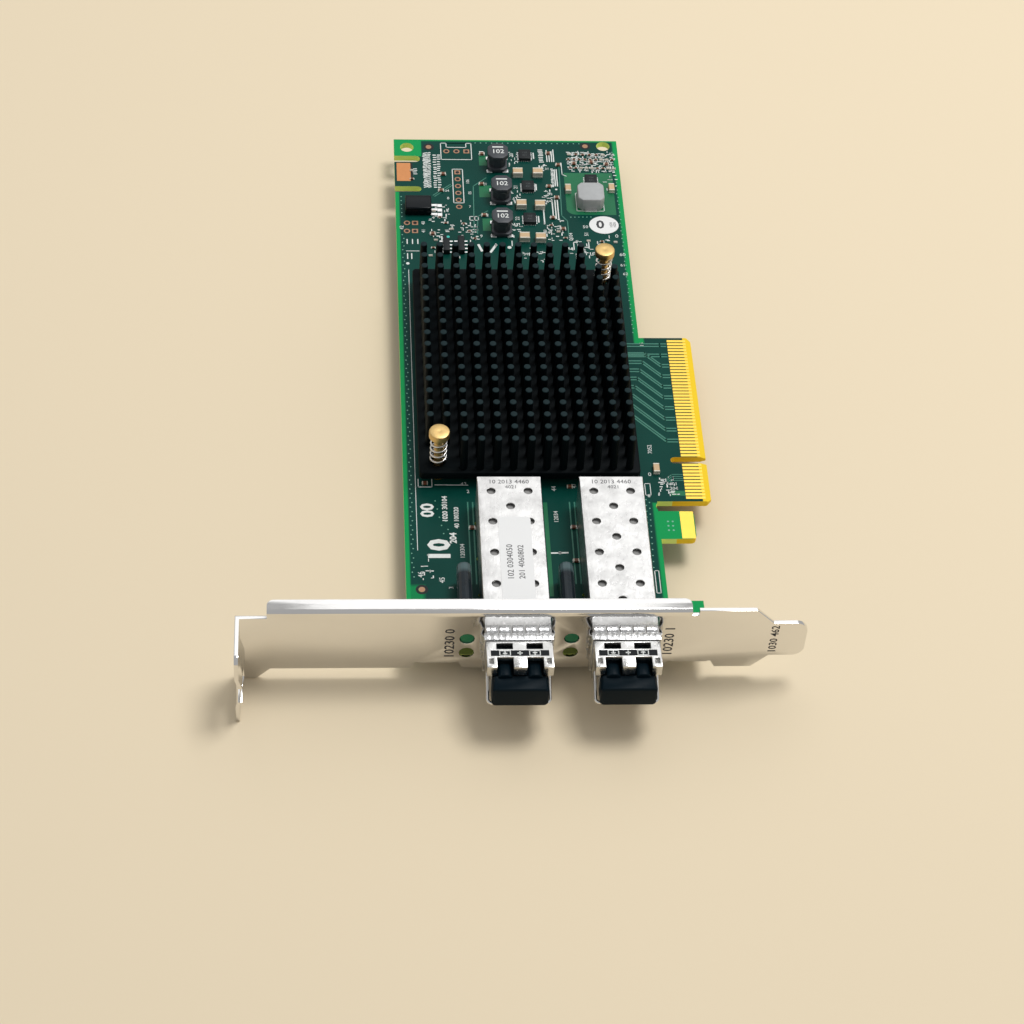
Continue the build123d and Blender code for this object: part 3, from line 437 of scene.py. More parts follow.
# %% Start and end of a piece
def finish_piece(name, bm, material, body="root", smooth_below=35.0):
    """Turn a bmesh in card millimetres into a finished piece that rides on its body."""
    bmesh.ops.transform(bm, matrix=card_to_world, verts=bm.verts)
    mesh = bpy.data.meshes.new(name)
    bm.to_mesh(mesh)
    bm.free()
    mesh.shade_smooth()
    mesh.set_sharp_from_angle(angle=math.radians(smooth_below))
    mesh.materials.append(material)
    piece = bpy.data.objects.new(name, mesh)
    bpy.context.scene.collection.objects.link(piece)
    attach(piece, body)
    print(name, len(mesh.polygons), "faces")
    return piece


def copy_of_node(node):
    """A merged copy of a CAD node, with each flat face made whole."""
    bm = bmesh.new()
    bm.from_mesh(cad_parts[node].data)
    bmesh.ops.transform(bm, matrix=world_to_card, verts=bm.verts)
    bmesh.ops.remove_doubles(bm, verts=bm.verts, dist=0.002)
    bmesh.ops.dissolve_limit(bm, angle_limit=math.radians(1.0), verts=bm.verts, edges=bm.edges)
    return bm


def edges_of(verts):
    """The edges that meet some vertices."""
    return {edge for vert in verts for edge in vert.link_edges}


def bevel_edges(bm, edges, width, segments, clamp=False):
    """Round some edges, or cut them off with one segment."""
    bmesh.ops.bevel(
        bm, geom=list(edges), offset=width, offset_type="OFFSET", segments=segments, profile=0.5,
        affect="EDGES", material=-1, clamp_overlap=clamp,
    )


def soften(bm, width, sharper_than=25.0, segments=2, keep=None):
    """Bevel the sharp edges, all of them or those that a test keeps."""
    limit = math.radians(sharper_than)
    edges = [edge for edge in bm.edges if len(edge.link_faces) == 2 and edge.calc_face_angle() > limit]
    if keep:
        edges = [edge for edge in edges if keep(edge)]
    bevel_edges(bm, edges, width, segments, clamp=True)


def softened_copy(node, width, **settings):
    """A copy of a CAD node with its sharp edges bevelled."""
    bm = copy_of_node(node)
    soften(bm, width, **settings)
    return bm


def cut_above(bm, height):
    """Cut away what stands above a height, and close the cut."""
    cut = bmesh.ops.bisect_plane(
        bm, geom=bm.verts[:] + bm.edges[:] + bm.faces[:], plane_co=(0, 0, height), plane_no=(0, 0, 1),
        clear_outer=True, dist=0.0005,
    )
    rim = [item for item in cut["geom_cut"] if isinstance(item, bmesh.types.BMEdge)]
    bmesh.ops.triangle_fill(bm, edges=rim, use_beauty=True, use_dissolve=True, normal=(0, 0, 1))


def thicken_down(bm, faces, thickness):
    """Turn a flat sheet's faces up, and give it its thickness below them."""
    bmesh.ops.recalc_face_normals(bm, faces=faces)
    if faces[0].normal.z < 0:
        bmesh.ops.reverse_faces(bm, faces=faces)
    bmesh.ops.solidify(bm, geom=faces, thickness=thickness)


print("bmesh tools ready")

# %% [markdown]
# Small flat things, such as pads, print and traces, are thin boxes, discs and rings that stand a few
# hundredths of a millimetre proud of the board. They are real geometry, so that they keep their place and
# shape in any view, and hundreds of them share one mesh.

# %% Boxes, strips, discs and rings
THIN = 0.03


def add_block(bm, stand, size):
    """A box of a size, where a matrix puts it."""
    return bmesh.ops.create_cube(bm, size=1.0, matrix=stand @ Matrix.Diagonal((*size, 1.0)))["verts"]


def add_box(bm, x, y, z):
    """A box between the low and high of three pairs."""
    middle = Vector([(low + high) / 2 for low, high in (x, y, z)])
    return add_block(bm, Matrix.Translation(middle), [high - low for low, high in (x, y, z)])


def add_path(bm, points, width, level=0.0, height=THIN):
    """Thin strips along a line of places."""
    for start, end in zip(points, points[1:]):
        start, end = Vector((*start, level)), Vector((*end, level))
        run = end - start
        turn = Matrix.Rotation(math.atan2(run.y, run.x), 4, "Z")
        middle = Matrix.Translation((start + end) / 2 + Vector((0, 0, height / 2)))
        add_block(bm, middle @ turn, (run.length + width, width, height))


def add_upright(bm, x, low, high, width):
    """One strip along the card."""
    add_path(bm, [(x, low), (x, high)], width)


def add_outline(bm, x, y, width, level=0.0, height=THIN):
    """A thin frame."""
    (x0, x1), (y0, y1) = x, y
    add_path(bm, [(x0, y0), (x1, y0), (x1, y1), (x0, y1), (x0, y0)], width, level, height)


def add_disc(bm, place, radius, low, height, sides=16, top=None):
    """A round, straight or with a narrower top."""
    middle = Matrix.Translation((*place, low + height / 2))
    return bmesh.ops.create_cone(
        bm, cap_ends=True, cap_tris=False, segments=sides, radius1=radius,
        radius2=radius if top is None else top, depth=height, matrix=middle,
    )["verts"]


def add_ring(bm, place, inner, outer, low, height, sides=20):
    """A flat washer, from two circles bridged and thickened."""
    matrix = Matrix.Translation((*place, low + height))
    edges = set()
    for radius in (inner, outer):
        made = bmesh.ops.create_circle(bm, cap_ends=False, segments=sides, radius=radius, matrix=matrix)
        edges |= edges_of(made["verts"])
    thicken_down(bm, bmesh.ops.bridge_loops(bm, edges=list(edges))["faces"], height)


def add_number(bm, text, height, place, turn=0.0, level=0.0, thickness=THIN, stand=None, bold=0.0):
    """Plain figures, as a thin mesh: flat on a level, or turned by a matrix of their own."""
    curve = bpy.data.curves.new("figures", "FONT")
    curve.body = text
    curve.size = height * 1.4
    curve.extrude = thickness / 2
    curve.offset = bold
    curve.align_x = "CENTER"
    curve.align_y = "CENTER"
    curve.resolution_u = 2
    holder = bpy.data.objects.new("figures", curve)
    bpy.context.scene.collection.objects.link(holder)
    bpy.context.view_layer.update()
    mesh = bpy.data.meshes.new_from_object(holder)
    spot = Matrix.Translation((*place, level + thickness / 2)) @ Matrix.Rotation(math.radians(turn), 4, "Z")
    mesh.transform(stand if stand else spot)
    bm.from_mesh(mesh)
    bpy.data.objects.remove(holder)
    bpy.data.curves.remove(curve)
    bpy.data.meshes.remove(mesh)


print("flat tools ready")

# %% [markdown]
# ## Board, contacts and hidden solids
# The board, its contacts and the solids inside the cages keep their own meshes, which already have the right
# form, and take their materials. The solids that show close up are given finer pieces below.

# %% Finishes for the solids that stay
node_finishes = {
    "circuit_board": board_mask, "edge_contacts": contact_gold, "thermal_pad": pad_silicone,
    "controller_chip": chip_resin, "status_lamps": lamp_resin,
}
PORT_FINISHES = {
    "light_pipe": pipe_clear, "port_connector": gloss_resin, "transceiver_cover": cage_tin,
    "transceiver_board": board_mask, "latch_lever": cage_tin, "optical_barrels": barrel_steel,
}
for number in range(len(PORTS)):
    for stem, material in PORT_FINISHES.items():
        node_finishes[f"{stem}_{number}"] = material
for node, material in node_finishes.items():
    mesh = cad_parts[node].data
    mesh.materials.clear()
    mesh.materials.append(material)
print("dressed", len(node_finishes), "nodes")

# %% [markdown]
# ## Copper under the mask
# Wide copper areas show as paler green patches, and single tracks as thin raised lines. On the real board
# they are etched and then coated, so they stand a few hundredths of a millimetre high with soft edges.
# The pairs from the contacts fan out to the controller under the heat sink.

# %% Copper areas
COPPER_AREAS = (
    (21.3, 24.1, 114.0, 117.7), (20.9, 24.2, 102.0, 106.4), (21.3, 24.0, 89.6, 94.1),
    (42.4, 54.6, 98.0, 111.4), (44.6, 54.6, 95.7, 97.99), (59.9, 63.2, 1.7, 3.2), (31.0, 31.9, -27.6, -0.3),
)
copper = bmesh.new()
for x0, x1, y0, y1 in COPPER_AREAS:
    add_box(copper, (x0, x1), (y0, y1), (-0.01, 0.015))
add_disc(copper, (44.6, 98.0), 2.25, -0.01, 0.02, 24)
finish_piece("copper_areas", copper, copper_under_mask)

# %% Tracks
TRACK = 0.22
TRACK_PATHS = (
    ((9.4, 102.6), (13.8, 106.7)),
    ((9.8, 102.2), (14.2, 106.3)),
    ((19.1, 88.9), (19.5, 106.1), (22.8, 109.3)),
    ((19.9, 88.6), (20.2, 94.8), (22.7, 96.9)),
    ((41.4, 115.2), (41.0, 95.3), (42.3, 93.4), (42.3, 88.4)),
)
PAIR_COUNT = 10
PAIR_PITCH = 3.45
PAIR_FIRST_Y = 50.2
PAIR_GAP = 0.85
PAIR_X = (62.8, 52.6)
PAIR_TRACK = 0.34
LONG_TRACK_X = (14.2, 15.3, 36.9, 38.0)
LONG_TRACK = 0.3
tracks = bmesh.new()
for points in TRACK_PATHS:
    add_path(tracks, points, TRACK)
for x in LONG_TRACK_X:
    add_upright(tracks, x, -0.3, -24.0, LONG_TRACK)
for pair in range(PAIR_COUNT):
    rise = 0.0 if pair < 2 else 2.4 + pair * 0.75
    bend_x = 61.4 - pair * 0.12
    for offset in (0.0, PAIR_GAP):
        y = PAIR_FIRST_Y - pair * PAIR_PITCH - offset
        slope = [(bend_x, y), (bend_x - rise * 0.9, y + rise)]
        add_path(tracks, [(PAIR_X[0], y), *slope, (PAIR_X[1], y + rise)], PAIR_TRACK)
for row in range(4):
    y = 8.2 - row * 0.62
    add_path(tracks, [(63.0, y), (60.6, y), (59.4, y - 1.2)], 0.18)
finish_piece("board_tracks", tracks, trace_under_mask)

# %% [markdown]
# ## Vias
# Rows of small plated holes stitch the copper planes together along the card's edges. At this size each is a
# pale dot, so a short eight-sided stud does for it. In some rows every other one is set aside.

# %% Vias
VIA_ROWS = (
    ((1.45, 102.0), (1.5, 94.6), 1.3, 0.0),
    ((1.45, 88.0), (1.45, -22.0), 1.35, 0.35),
    ((20.6, 122.7), (47.0, 122.7), 1.35, 0.0),
    ((55.2, 119.5), (55.3, 111.9), 1.3, 0.0),
    ((55.25, 109.2), (55.4, 54.0), 1.35, 0.25),
    ((54.9, 1.4), (54.2, -19.5), 0.85, -0.75),
    ((43.2, 94.8), (48.2, 94.9), 1.0, 0.0),
    ((7.0, 0.2), (8.6, -9.5), 1.2, 1.2),
)
VIA_RADIUS = 0.16
WIDE_VIA_RADIUS = 0.24
VIA_HEIGHT = 0.02
vias = bmesh.new()
for start, end, pitch, aside in VIA_ROWS:
    start, end = Vector(start), Vector(end)
    count = int((end - start).length / pitch)
    for index in range(count + 1):
        x, y = start.lerp(end, index / count)
        add_disc(vias, (x + aside * (index % 2), y), VIA_RADIUS, 0.0, VIA_HEIGHT, 8)
for column in range(2):
    for row in range(3):
        place = (58.5 + column * 1.05, -6.0 - row * 1.3)
        add_disc(vias, place, WIDE_VIA_RADIUS, 0.0, VIA_HEIGHT, 10)
finish_piece("board_vias", vias, via_print)

# %% [markdown]
# ## Bare copper rings and the tab
# Unused connector places show as copper rings round dark holes, pin one square, and three round marks in dark
# windows help the assembly machine find the board. Each hole is a dark disc, which is painted shade inside
# the hole.
# The wide tab between the two edge slots is bare copper, and the hook beside the bracket carries a gold
# patch.

# %% Rings, marks and tab
ROUND_PADS = [(13.19, 119.36), (15.75, 119.36), (15.73, 98.33), (2.7, 92.3), (2.64, 89.35)]
ROUND_PADS += [(15.7, y) for y in (108.7, 106.1, 103.5, 100.9)]
SQUARE_PADS = [(18.25, 119.36), (15.7, 111.3), (4.67, 92.3), (4.6, 89.35)]
SIGHT_MARKS = [(8.74, 120.98), (48.5, 121.75), (3.4, -25.57)]
SQUARE_HALF = 0.74
HOLE_RADIUS = 0.47
RING_RADII = (0.48, 0.78)
MARK_RADIUS = 0.72
WINDOW_RADII = (0.78, 1.35)
TAB_Y = (107.9, 114.75)
rings, holes, tab, hook_gold = bmesh.new(), bmesh.new(), bmesh.new(), bmesh.new()
# The dark discs in the holes are painted shade inside the drilled holes.
for place in ROUND_PADS:
    add_ring(rings, place, *RING_RADII, 0.0, 0.04)
    add_disc(holes, place, HOLE_RADIUS, 0.0, 0.03)
for x, y in SQUARE_PADS:
    add_box(rings, (x - SQUARE_HALF, x + SQUARE_HALF), (y - SQUARE_HALF, y + SQUARE_HALF), (0.0, 0.035))
    add_disc(holes, (x, y), HOLE_RADIUS, 0.0, 0.05)
for place in SIGHT_MARKS:
    add_disc(rings, place, MARK_RADIUS, 0.0, 0.03, 20)
    add_ring(holes, place, *WINDOW_RADII, 0.0, 0.02)
finish_piece("copper_rings", rings, ring_copper)
add_box(tab, (0.55, 4.0), TAB_Y, (0.0, 0.03))
finish_piece("copper_tab", tab, bare_copper)
add_box(holes, (4.0, 4.5), TAB_Y, (0.0, 0.02))
# Dark windows round the marks, and painted shade in the holes.
finish_piece("dark_windows_and_hole_shade", holes, chip_resin)
add_box(hook_gold, (61.3, 64.3), (-11.05, -3.05), (0.0, 0.04))
finish_piece("hook_gold", hook_gold, contact_gold)

# %% [markdown]
# ## White print
# The print frames the empty connector places, numbers the parts and marks pin one. On this card it runs so
# close beside the parts that it reads as columns of short strokes. Here the frames and marks stand where they
# are on the card, the strokes are plain bars, and what would be lettering is plain figures.

# %% Frames, lines and marks
FRAMES = (
    ((11.8, 19.5), (116.2, 122.5), 0.2), ((13.2, 18.2), (120.9, 122.5), 0.2),
    ((14.45, 17.0), (99.8, 112.5), 0.2), ((44.9, 51.7), (97.1, 103.8), 0.18),
    ((18.2, 19.2), (93.4, 94.8), 0.2), ((19.4, 20.3), (93.4, 94.8), 0.2),
    ((54.2, 55.4), (1.9, 5.4), 0.16), ((54.3, 55.2), (-26.8, -20.4), 0.16),
)
LINES = (
    (0.14, (2.75, 75.4), (2.72, 9.0), (2.76, -14.3)), (0.25, (7.1, 5.05), (14.4, 4.95)),
    (0.22, (3.35, 6.7), (3.35, 4.4), (6.4, 4.4), (6.4, 6.7)), (0.4, (32.1, -15.25), (35.6, -15.15)),
    (0.18, (42.0, 115.2), (42.0, 110.8), (43.0, 110.2)), (0.18, (2.35, 82.15), (5.4, 82.15)),
    (0.3, (11.1, 82.2), (11.1, 87.4)), (0.6, (20.0, 84.4), (20.7, 82.4)), (0.6, (24.2, 84.4), (22.9, 82.0)),
)
BARS = (
    ((35.15,), 116.9, 118.9, 0.32), ((35.2,), 104.9, 106.9, 0.32), ((35.2,), 92.9, 94.9, 0.32),
    ((36.6,), 92.4, 96.8, 0.32), ((26.5,), 116.0, 116.0, 0.32), ((40.1, 40.6), 106.4, 112.6, 0.26),
    ((38.9, 39.6, 40.2), 94.3, 101.0, 0.28), ((2.6, 3.9, 5.2), 84.8, 86.3, 0.26),
    ((2.6, 3.6), 79.4, 81.2, 0.26), ((24.2,), 83.9, 84.9, 0.24), ((28.2,), 84.2, 85.9, 0.24),
    ((36.7,), 82.0, 84.5, 0.24), ((43.3,), 83.0, 85.4, 0.24), ((47.0,), 83.4, 85.8, 0.24),
)
DOTS = ((2.6, 77.7, 0.42), (33.9, -15.2, 0.36), (27.5, 83.6, 0.5), (40.2, 105.1, 0.3), (40.2, 94.0, 0.3))
white = bmesh.new()
for x, y, width in FRAMES:
    add_outline(white, x, y, width)
for width, *points in LINES:
    add_path(white, points, width)
for columns, low, high, width in BARS:
    for x in columns:
        add_upright(white, x, low, high, width)
for x, y, radius in DOTS:
    add_disc(white, (x, y), radius, 0.0, THIN, 14)
print("frames", len(FRAMES), "lines", len(LINES))

# %% [markdown]
# The strokes are drawn by chance, but always the same way, because the draw has a fixed start. A column is
# bars one above another, a little uneven, and a field is strokes scattered over an area.

# %% Columns and fields of strokes
stroke_draw = random.Random(11)
STROKE_COLUMNS = (
    (7.75, 105.6, 118.8, 1.0, 0.55, 0.3, 0.25), (8.65, 105.6, 118.9, 0.7, 0.6, 0.28, 0.2),
    (10.1, 105.6, 118.5, 0.55, 0.85, 0.34, 0.0), (11.1, 105.6, 118.7, 0.5, 0.85, 0.34, 0.0),
    (37.0, 115.5, 120.7, 1.0, 0.62, 0.28, 0.0), (39.5, 106.2, 113.0, 0.4, 0.5, 0.3, 0.0),
    (22.0, 117.9, 119.4, 0.9, 0.6, 0.24, 0.0), (5.1, 110.6, 112.6, 0.9, 0.6, 0.24, 0.0),
)
STROKE_FIELDS = (
    ((43.6, 55.4), (111.8, 119.6), 210), ((8.4, 14.0), (86.6, 99.0), 46), ((15.5, 20.0), (84.8, 93.2), 30),
    ((36.4, 41.0), (85.8, 93.6), 34), ((28.6, 31.4), (111.8, 120.6), 14), ((28.9, 31.2), (99.6, 104.6), 16),
    ((28.6, 31.0), (87.4, 92.4), 16), ((35.6, 38.0), (111.4, 114.6), 14), ((36.8, 39.0), (99.6, 104.8), 24),
    ((41.8, 52.6), (79.6, 87.0), 46), ((56.6, 62.4), (1.8, 7.4), 30), ((29.4, 36.6), (78.2, 83.6), 22),
    ((51.9, 55.6), (112.0, 104.0), 10), ((3.2, 6.2), (-23.6, -15.0), 12), ((11.2, 13.0), (-24.0, -27.0), 8),
)
TALL_STROKE_X = (38.5, 39.1, 39.7, 40.2)
for x, y, high, width, pitch, thick, slant in STROKE_COLUMNS:
    while y < high:
        reach = width * stroke_draw.uniform(0.36, 0.5)
        shift = stroke_draw.uniform(-0.1, 0.1)
        add_path(white, [(x - reach + shift, y), (x + reach + shift, y + slant)], thick)
        y += pitch * stroke_draw.uniform(0.8, 1.25)
for x, y, count in STROKE_FIELDS:
    for _ in range(count):
        spot = Vector((stroke_draw.uniform(*x), stroke_draw.uniform(*y)))
        reach = stroke_draw.uniform(0.12, 0.42)
        step = Vector((reach, 0)) if stroke_draw.random() < 0.55 else Vector((0, reach))
        add_path(white, [spot - step, spot + step], stroke_draw.uniform(0.14, 0.3))
for x in TALL_STROKE_X:
    add_upright(white, x, 115.7, 120.3 - stroke_draw.uniform(0, 1.2), 0.26)
finish_piece("print_frames", white, white_print)

# %% Figures in white
FIGURES_ALONG = (
    ("10", 0.9, 22.3, 118.6), ("11", 0.9, 22.4, 106.9), ("12", 0.9, 22.3, 95.3), ("31", 0.8, 38.3, 112.9),
    ("32", 0.8, 38.6, 103.3), ("04", 0.8, 12.9, 104.3), ("7", 0.8, 18.4, 98.4), ("8", 0.9, 13.1, 101.5),
    ("0", 1.2, 54.1, 87.9), ("1", 1.2, 52.2, 87.6), ("50", 1.0, 46.6, 91.2), ("60", 1.1, 55.0, 81.2),
    ("61", 0.9, 54.8, 77.4), ("62", 0.9, 55.2, 74.3), ("31", 0.9, 31.4, 81.2), ("43", 1.0, 13.5, 5.3),
    ("2", 1.0, 14.4, 3.0), ("0", 1.1, 55.6, 8.2), ("6", 1.0, 54.9, 1.7), ("801", 0.9, 60.7, 5.3),
    ("204", 0.9, 60.7, 3.9), ("106", 0.9, 9.9, 81.9), ("204", 0.9, 14.5, 79.9), ("9", 1.0, 20.8, 87.6),
)
FIGURES_TURNED = (
    ("20", 1.0, 29.6, 118.1), ("21", 1.0, 30.1, 105.9), ("22", 1.0, 30.0, 94.2), ("33", 0.8, 36.6, 89.6),
    ("05", 0.8, 18.6, 103.6), ("106", 0.8, 18.2, 107.8), ("40", 0.9, 6.7, 92.3), ("41", 0.9, 6.7, 89.4),
    ("42", 1.0, 1.4, 90.6), ("51", 1.0, 46.7, 88.6), ("0104", 1.0, 42.8, 87.6), ("00240", 1.0, 36.9, 80.6),
    ("2010", 0.9, 44.0, 80.3), ("70", 0.9, 49.9, 84.6), ("44", 1.1, 33.7, 3.9), ("12034", 1.0, 33.7, -4.6),
    ("45", 1.2, 7.9, -22.9), ("46", 1.2, 3.3, -21.3), ("3", 1.0, 9.8, -25.1), ("47", 1.0, 38.3, 4.7),
    ("15", 0.9, 57.2, 50.0), ("7052", 1.0, 56.3, 16.0), ("120304", 1.0, 12.6, -14.6),
)
BOLD_FIGURES = (
    ("00", 2.9, 5.3, -2.6, 0.12), ("10", 4.6, 7.7, -14.4, 0.26), ("204", 1.5, 10.7, -10.8, 0.06),
    ("1020 30104", 1.15, 9.1, -2.2, 0.04), ("40 100320", 1.05, 11.6, -4.8, 0.03),
)
figures = bmesh.new()
for turn, rows in ((0, FIGURES_ALONG), (90, FIGURES_TURNED)):
    for text, height, x, y in rows:
        add_number(figures, text, height, (x, y), turn)
for text, height, x, y, bold in BOLD_FIGURES:
    add_number(figures, text, height, (x, y), 90, bold=bold)
finish_piece("print_figures", figures, white_print)

# %% [markdown]
# ## Small ceramic parts
# A ceramic capacitor is a fired block with a metal cap baked on each end, and a slope of solder holds each
# cap to its pad. The tan ones stand beside the inductors, and the smallest parts are scattered over the
# corners. Bodies, caps and solder are separate meshes, because they have different finishes.

# %% Capped parts
TAN_PLACES = (
    (30.74, 110.22), (35.76, 110.28), (31.09, 98.30), (35.67, 98.12), (31.30, 86.30), (35.23, 86.12),
)
UPRIGHT_PLACES = ((43.1, 104.7), (54.0, 105.05), (57.15, 9.4))
SMALL_PLACES = (
    (4.85, 5.35), (37.25, 4.26), (14.9, -7.98), (37.4, -7.87), (37.3, -17.66), (38.9, 118.6), (41.2, 114.2),
    (38.4, 106.0), (40.1, 101.8), (38.7, 94.3), (41.0, 90.2), (22.1, 118.2), (21.6, 106.7), (21.8, 95.1),
    (45.2, 114.8), (49.6, 115.3), (53.4, 114.6), (11.4, 104.2), (12.1, 110.4), (8.9, 88.2),
)
TINY_ROWS = (
    ((43.9, 116.4), (55.0, 116.4), 9), ((44.2, 113.2), (55.2, 113.0), 9), ((4.3, 111.8), (4.3, 108.6), 2),
    ((38.2, 91.6), (41.4, 87.0), 3), ((47.0, 86.0), (53.6, 85.6), 3), ((9.6, 86.0), (8.2, 80.4), 3),
    ((9.4, 96.6), (13.6, 90.0), 4), ((16.6, 92.0), (19.2, 86.6), 3), ((44.2, 118.4), (52.8, 118.2), 6),
)
TAN_PART = (2.5, 2.2, 1.8, 0.42)
UPRIGHT_PART = (1.45, 2.6, 1.2, 0.4)
SMALL_PART = (1.3, 0.9, 0.6, 0.28)
TINY_PART = (1.0, 0.5, 0.38, 0.24)
SOLDER_SHARE = 0.28
part_draw = random.Random(5)
tan_bodies, brown_bodies, caps, solder = bmesh.new(), bmesh.new(), bmesh.new(), bmesh.new()


def add_capped_part(bodies, place, size, across=False):
    """A ceramic block, its two caps and the solder before them, from three sizes and the cap's length."""
    width, length, height, cap = size
    ends, side = (length / 2, width / 2) if across else (width / 2, length / 2)
    spot = Matrix.Translation((*place, 0.0)) @ Matrix.Rotation(math.pi / 2 if across else 0.0, 4, "Z")

    def add_span(bm, start, end, half, low, high):
        middle = Matrix.Translation(((start + end) / 2, 0.0, (low + high) / 2))
        add_block(bm, spot @ middle, (abs(end - start), half * 2, high - low))

    add_span(bodies, -ends + cap * 0.8, ends - cap * 0.8, side - 0.04, 0.02, height - 0.04)
    for sign in SIDES:
        add_span(caps, sign * (ends - cap), sign * ends, side, 0.0, height)
        foot = sign * (ends + cap * 0.25)
        add_span(solder, sign * (ends - cap * 0.4), foot, side * 0.96, 0.0, height * SOLDER_SHARE)


for place in TAN_PLACES:
    add_capped_part(tan_bodies, place, TAN_PART, across=True)
for place in UPRIGHT_PLACES:
    add_capped_part(tan_bodies, place, UPRIGHT_PART, across=True)
for place in SMALL_PLACES:
    add_capped_part(brown_bodies, place, SMALL_PART)
for start, end, count in TINY_ROWS:
    for index in range(count):
        place = Vector(start).lerp(Vector(end), index / (count - 1))
        add_capped_part(brown_bodies, place, TINY_PART, part_draw.random() < 0.5)
for bm, width in ((tan_bodies, 0.09), (caps, 0.09), (brown_bodies, 0.04)):
    soften(bm, width, segments=1)
tan_piece = finish_piece("capacitor_bodies", tan_bodies, tan_ceramic)
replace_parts(tan_piece, "ceramic_capacitors")
brown_piece = finish_piece("small_part_bodies", brown_bodies, brown_ceramic)
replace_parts(brown_piece, "small_components")
finish_piece("part_caps", caps, tinned_end)
finish_piece("solder_feet", solder, solder_tin)

# %% [markdown]
# ## Inductors
# Each power inductor is a drum of pressed iron powder: two flanges with their corners cut off, a waist
# between them, and four tinned feet below. Printed figures with a bar lie across its top. The grey one is
# a block pressed round its coil, with two terminals that fold out.

# %% Inductors and their print
DRUM_LAYERS = ((2.55, 2.80, 1.3, 3.75, 5.0), (2.05, 2.25, 1.1, 1.1, 3.85), (2.50, 2.75, 0.9, 0.1, 1.2))
INDUCTOR_PLACES = ((25.77, 113.93), (26.17, 101.81), (25.85, 89.87))
INDUCTOR_TOP = 5.0
FOOT_X = (1.3, 2.75)
FOOT_Y = (1.9, 3.0)
FOOT_HEIGHT = 0.45
GREY_TERMINAL_X = (46.9, 49.8)
GREY_TERMINAL_Y = ((96.4, 97.6), (103.7, 104.6))


def is_upright(edge):
    """A test for the edges that aren't level."""
    first, second = [vert.co for vert in edge.verts]
    return abs(first.z - second.z) > 0.05


def add_drum(bm, place):
    """A drum core: a flange above, a waist and a base, each a block with its corners cut off."""
    x, y = place
    for half_x, half_y, corner, low, high in DRUM_LAYERS:
        verts = add_box(bm, (x - half_x, x + half_x), (y - half_y, y + half_y), (low, high))
        bevel_edges(bm, [edge for edge in edges_of(verts) if is_upright(edge)], corner, 1)


grey = softened_copy("grey_inductor", 0.25)
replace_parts(finish_piece("grey_inductor_body", grey, grey_powder), "grey_inductor")
drums, terminals, inductor_print = bmesh.new(), bmesh.new(), bmesh.new()
for x, y in INDUCTOR_PLACES:
    add_drum(drums, (x, y))
    for side in SIDES:
        for end in SIDES:
            foot_x = sorted(x + side * reach for reach in FOOT_X)
            foot_y = sorted(y + end * reach for reach in FOOT_Y)
            add_box(terminals, foot_x, foot_y, (0.0, FOOT_HEIGHT))
    add_number(inductor_print, "102", 1.5, (x, y - 0.35), 0, INDUCTOR_TOP, 0.02, bold=0.02)
    add_path(inductor_print, [(x - 1.15, y + 1.35), (x + 1.15, y + 1.35)], 0.42, INDUCTOR_TOP, 0.02)
soften(drums, 0.16)
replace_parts(finish_piece("inductor_drums", drums, iron_powder), "power_inductors")
for terminal_y in GREY_TERMINAL_Y:
    add_box(terminals, GREY_TERMINAL_X, terminal_y, (0.0, 0.5))
soften(terminals, 0.06, segments=1)
finish_piece("inductor_terminals", terminals, solder_tin)
finish_piece("inductor_print", inductor_print, white_print)

# %% [markdown]
# ## Chips
# The regulators are flat resin squares with silver lands round their feet. The leaded part is glossy and has
# three flat leads, and the two memory chips are narrow bars with a row of short legs on each long side.

# %% Chip bodies
CHIP_NODES = (("regulator_chips", "regulator_bodies", 0.1), ("memory_chips", "memory_bodies", 0.14))
for node, new_name, width in CHIP_NODES:
    chips = softened_copy(node, width)
    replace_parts(finish_piece(new_name, chips, chip_resin), node)
SWITCH_BOX = ((2.3, 8.78), (94.9, 99.8), (0.15, 2.6))
SWITCH_LEAD_Y = (95.35, 97.0, 98.65)
switch_body, switch_leads = bmesh.new(), bmesh.new()
add_box(switch_body, *SWITCH_BOX)
soften(switch_body, 0.34, segments=3)
for y in SWITCH_LEAD_Y:
    add_box(switch_leads, (8.7, 10.3), (y - 0.4, y + 0.4), (0.0, 0.3))
    add_box(switch_leads, (10.3, 11.48), (y - 0.55, y + 0.55), (0.0, 0.14))
soften(switch_leads, 0.05, segments=1)
switch_piece = finish_piece("switch_body", switch_body, gloss_resin)
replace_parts(switch_piece, "power_switch")
finish_piece("switch_leads", switch_leads, solder_tin)

# %% Lands and legs
REGULATOR_PLACES = ((32.87, 117.59), (33.12, 105.72), (32.96, 93.68), (49.07, 108.2))
MEMORY_PLACES = ((12.1, 83.6), (15.7, 83.65))
LAND_OFFSETS = (-1.3, -0.78, -0.26, 0.26, 0.78, 1.3)
LAND_HALF = 0.13
LAND_HEIGHT = 0.06
LEG_OFFSETS = (-2.0, -0.7, 0.6, 1.9)
LEG_HALF = 0.2
REGULATOR_TOP = 0.9
MARK_HEIGHT = 0.012
lands, chip_marks, memory_mark = bmesh.new(), bmesh.new(), bmesh.new()
for x, y in REGULATOR_PLACES:
    for offset in LAND_OFFSETS:
        land_x = (x + offset - LAND_HALF, x + offset + LAND_HALF)
        land_y = (y + offset - LAND_HALF, y + offset + LAND_HALF)
        add_box(lands, land_x, (y - 2.15, y + 2.15), (0.0, LAND_HEIGHT))
        add_box(lands, (x - 1.85, x + 1.85), land_y, (0.0, LAND_HEIGHT))
    for line, text in enumerate(("120", "431")):
        add_number(chip_marks, text, 0.6, (x, y + 0.5 - line), 0, REGULATOR_TOP, MARK_HEIGHT)
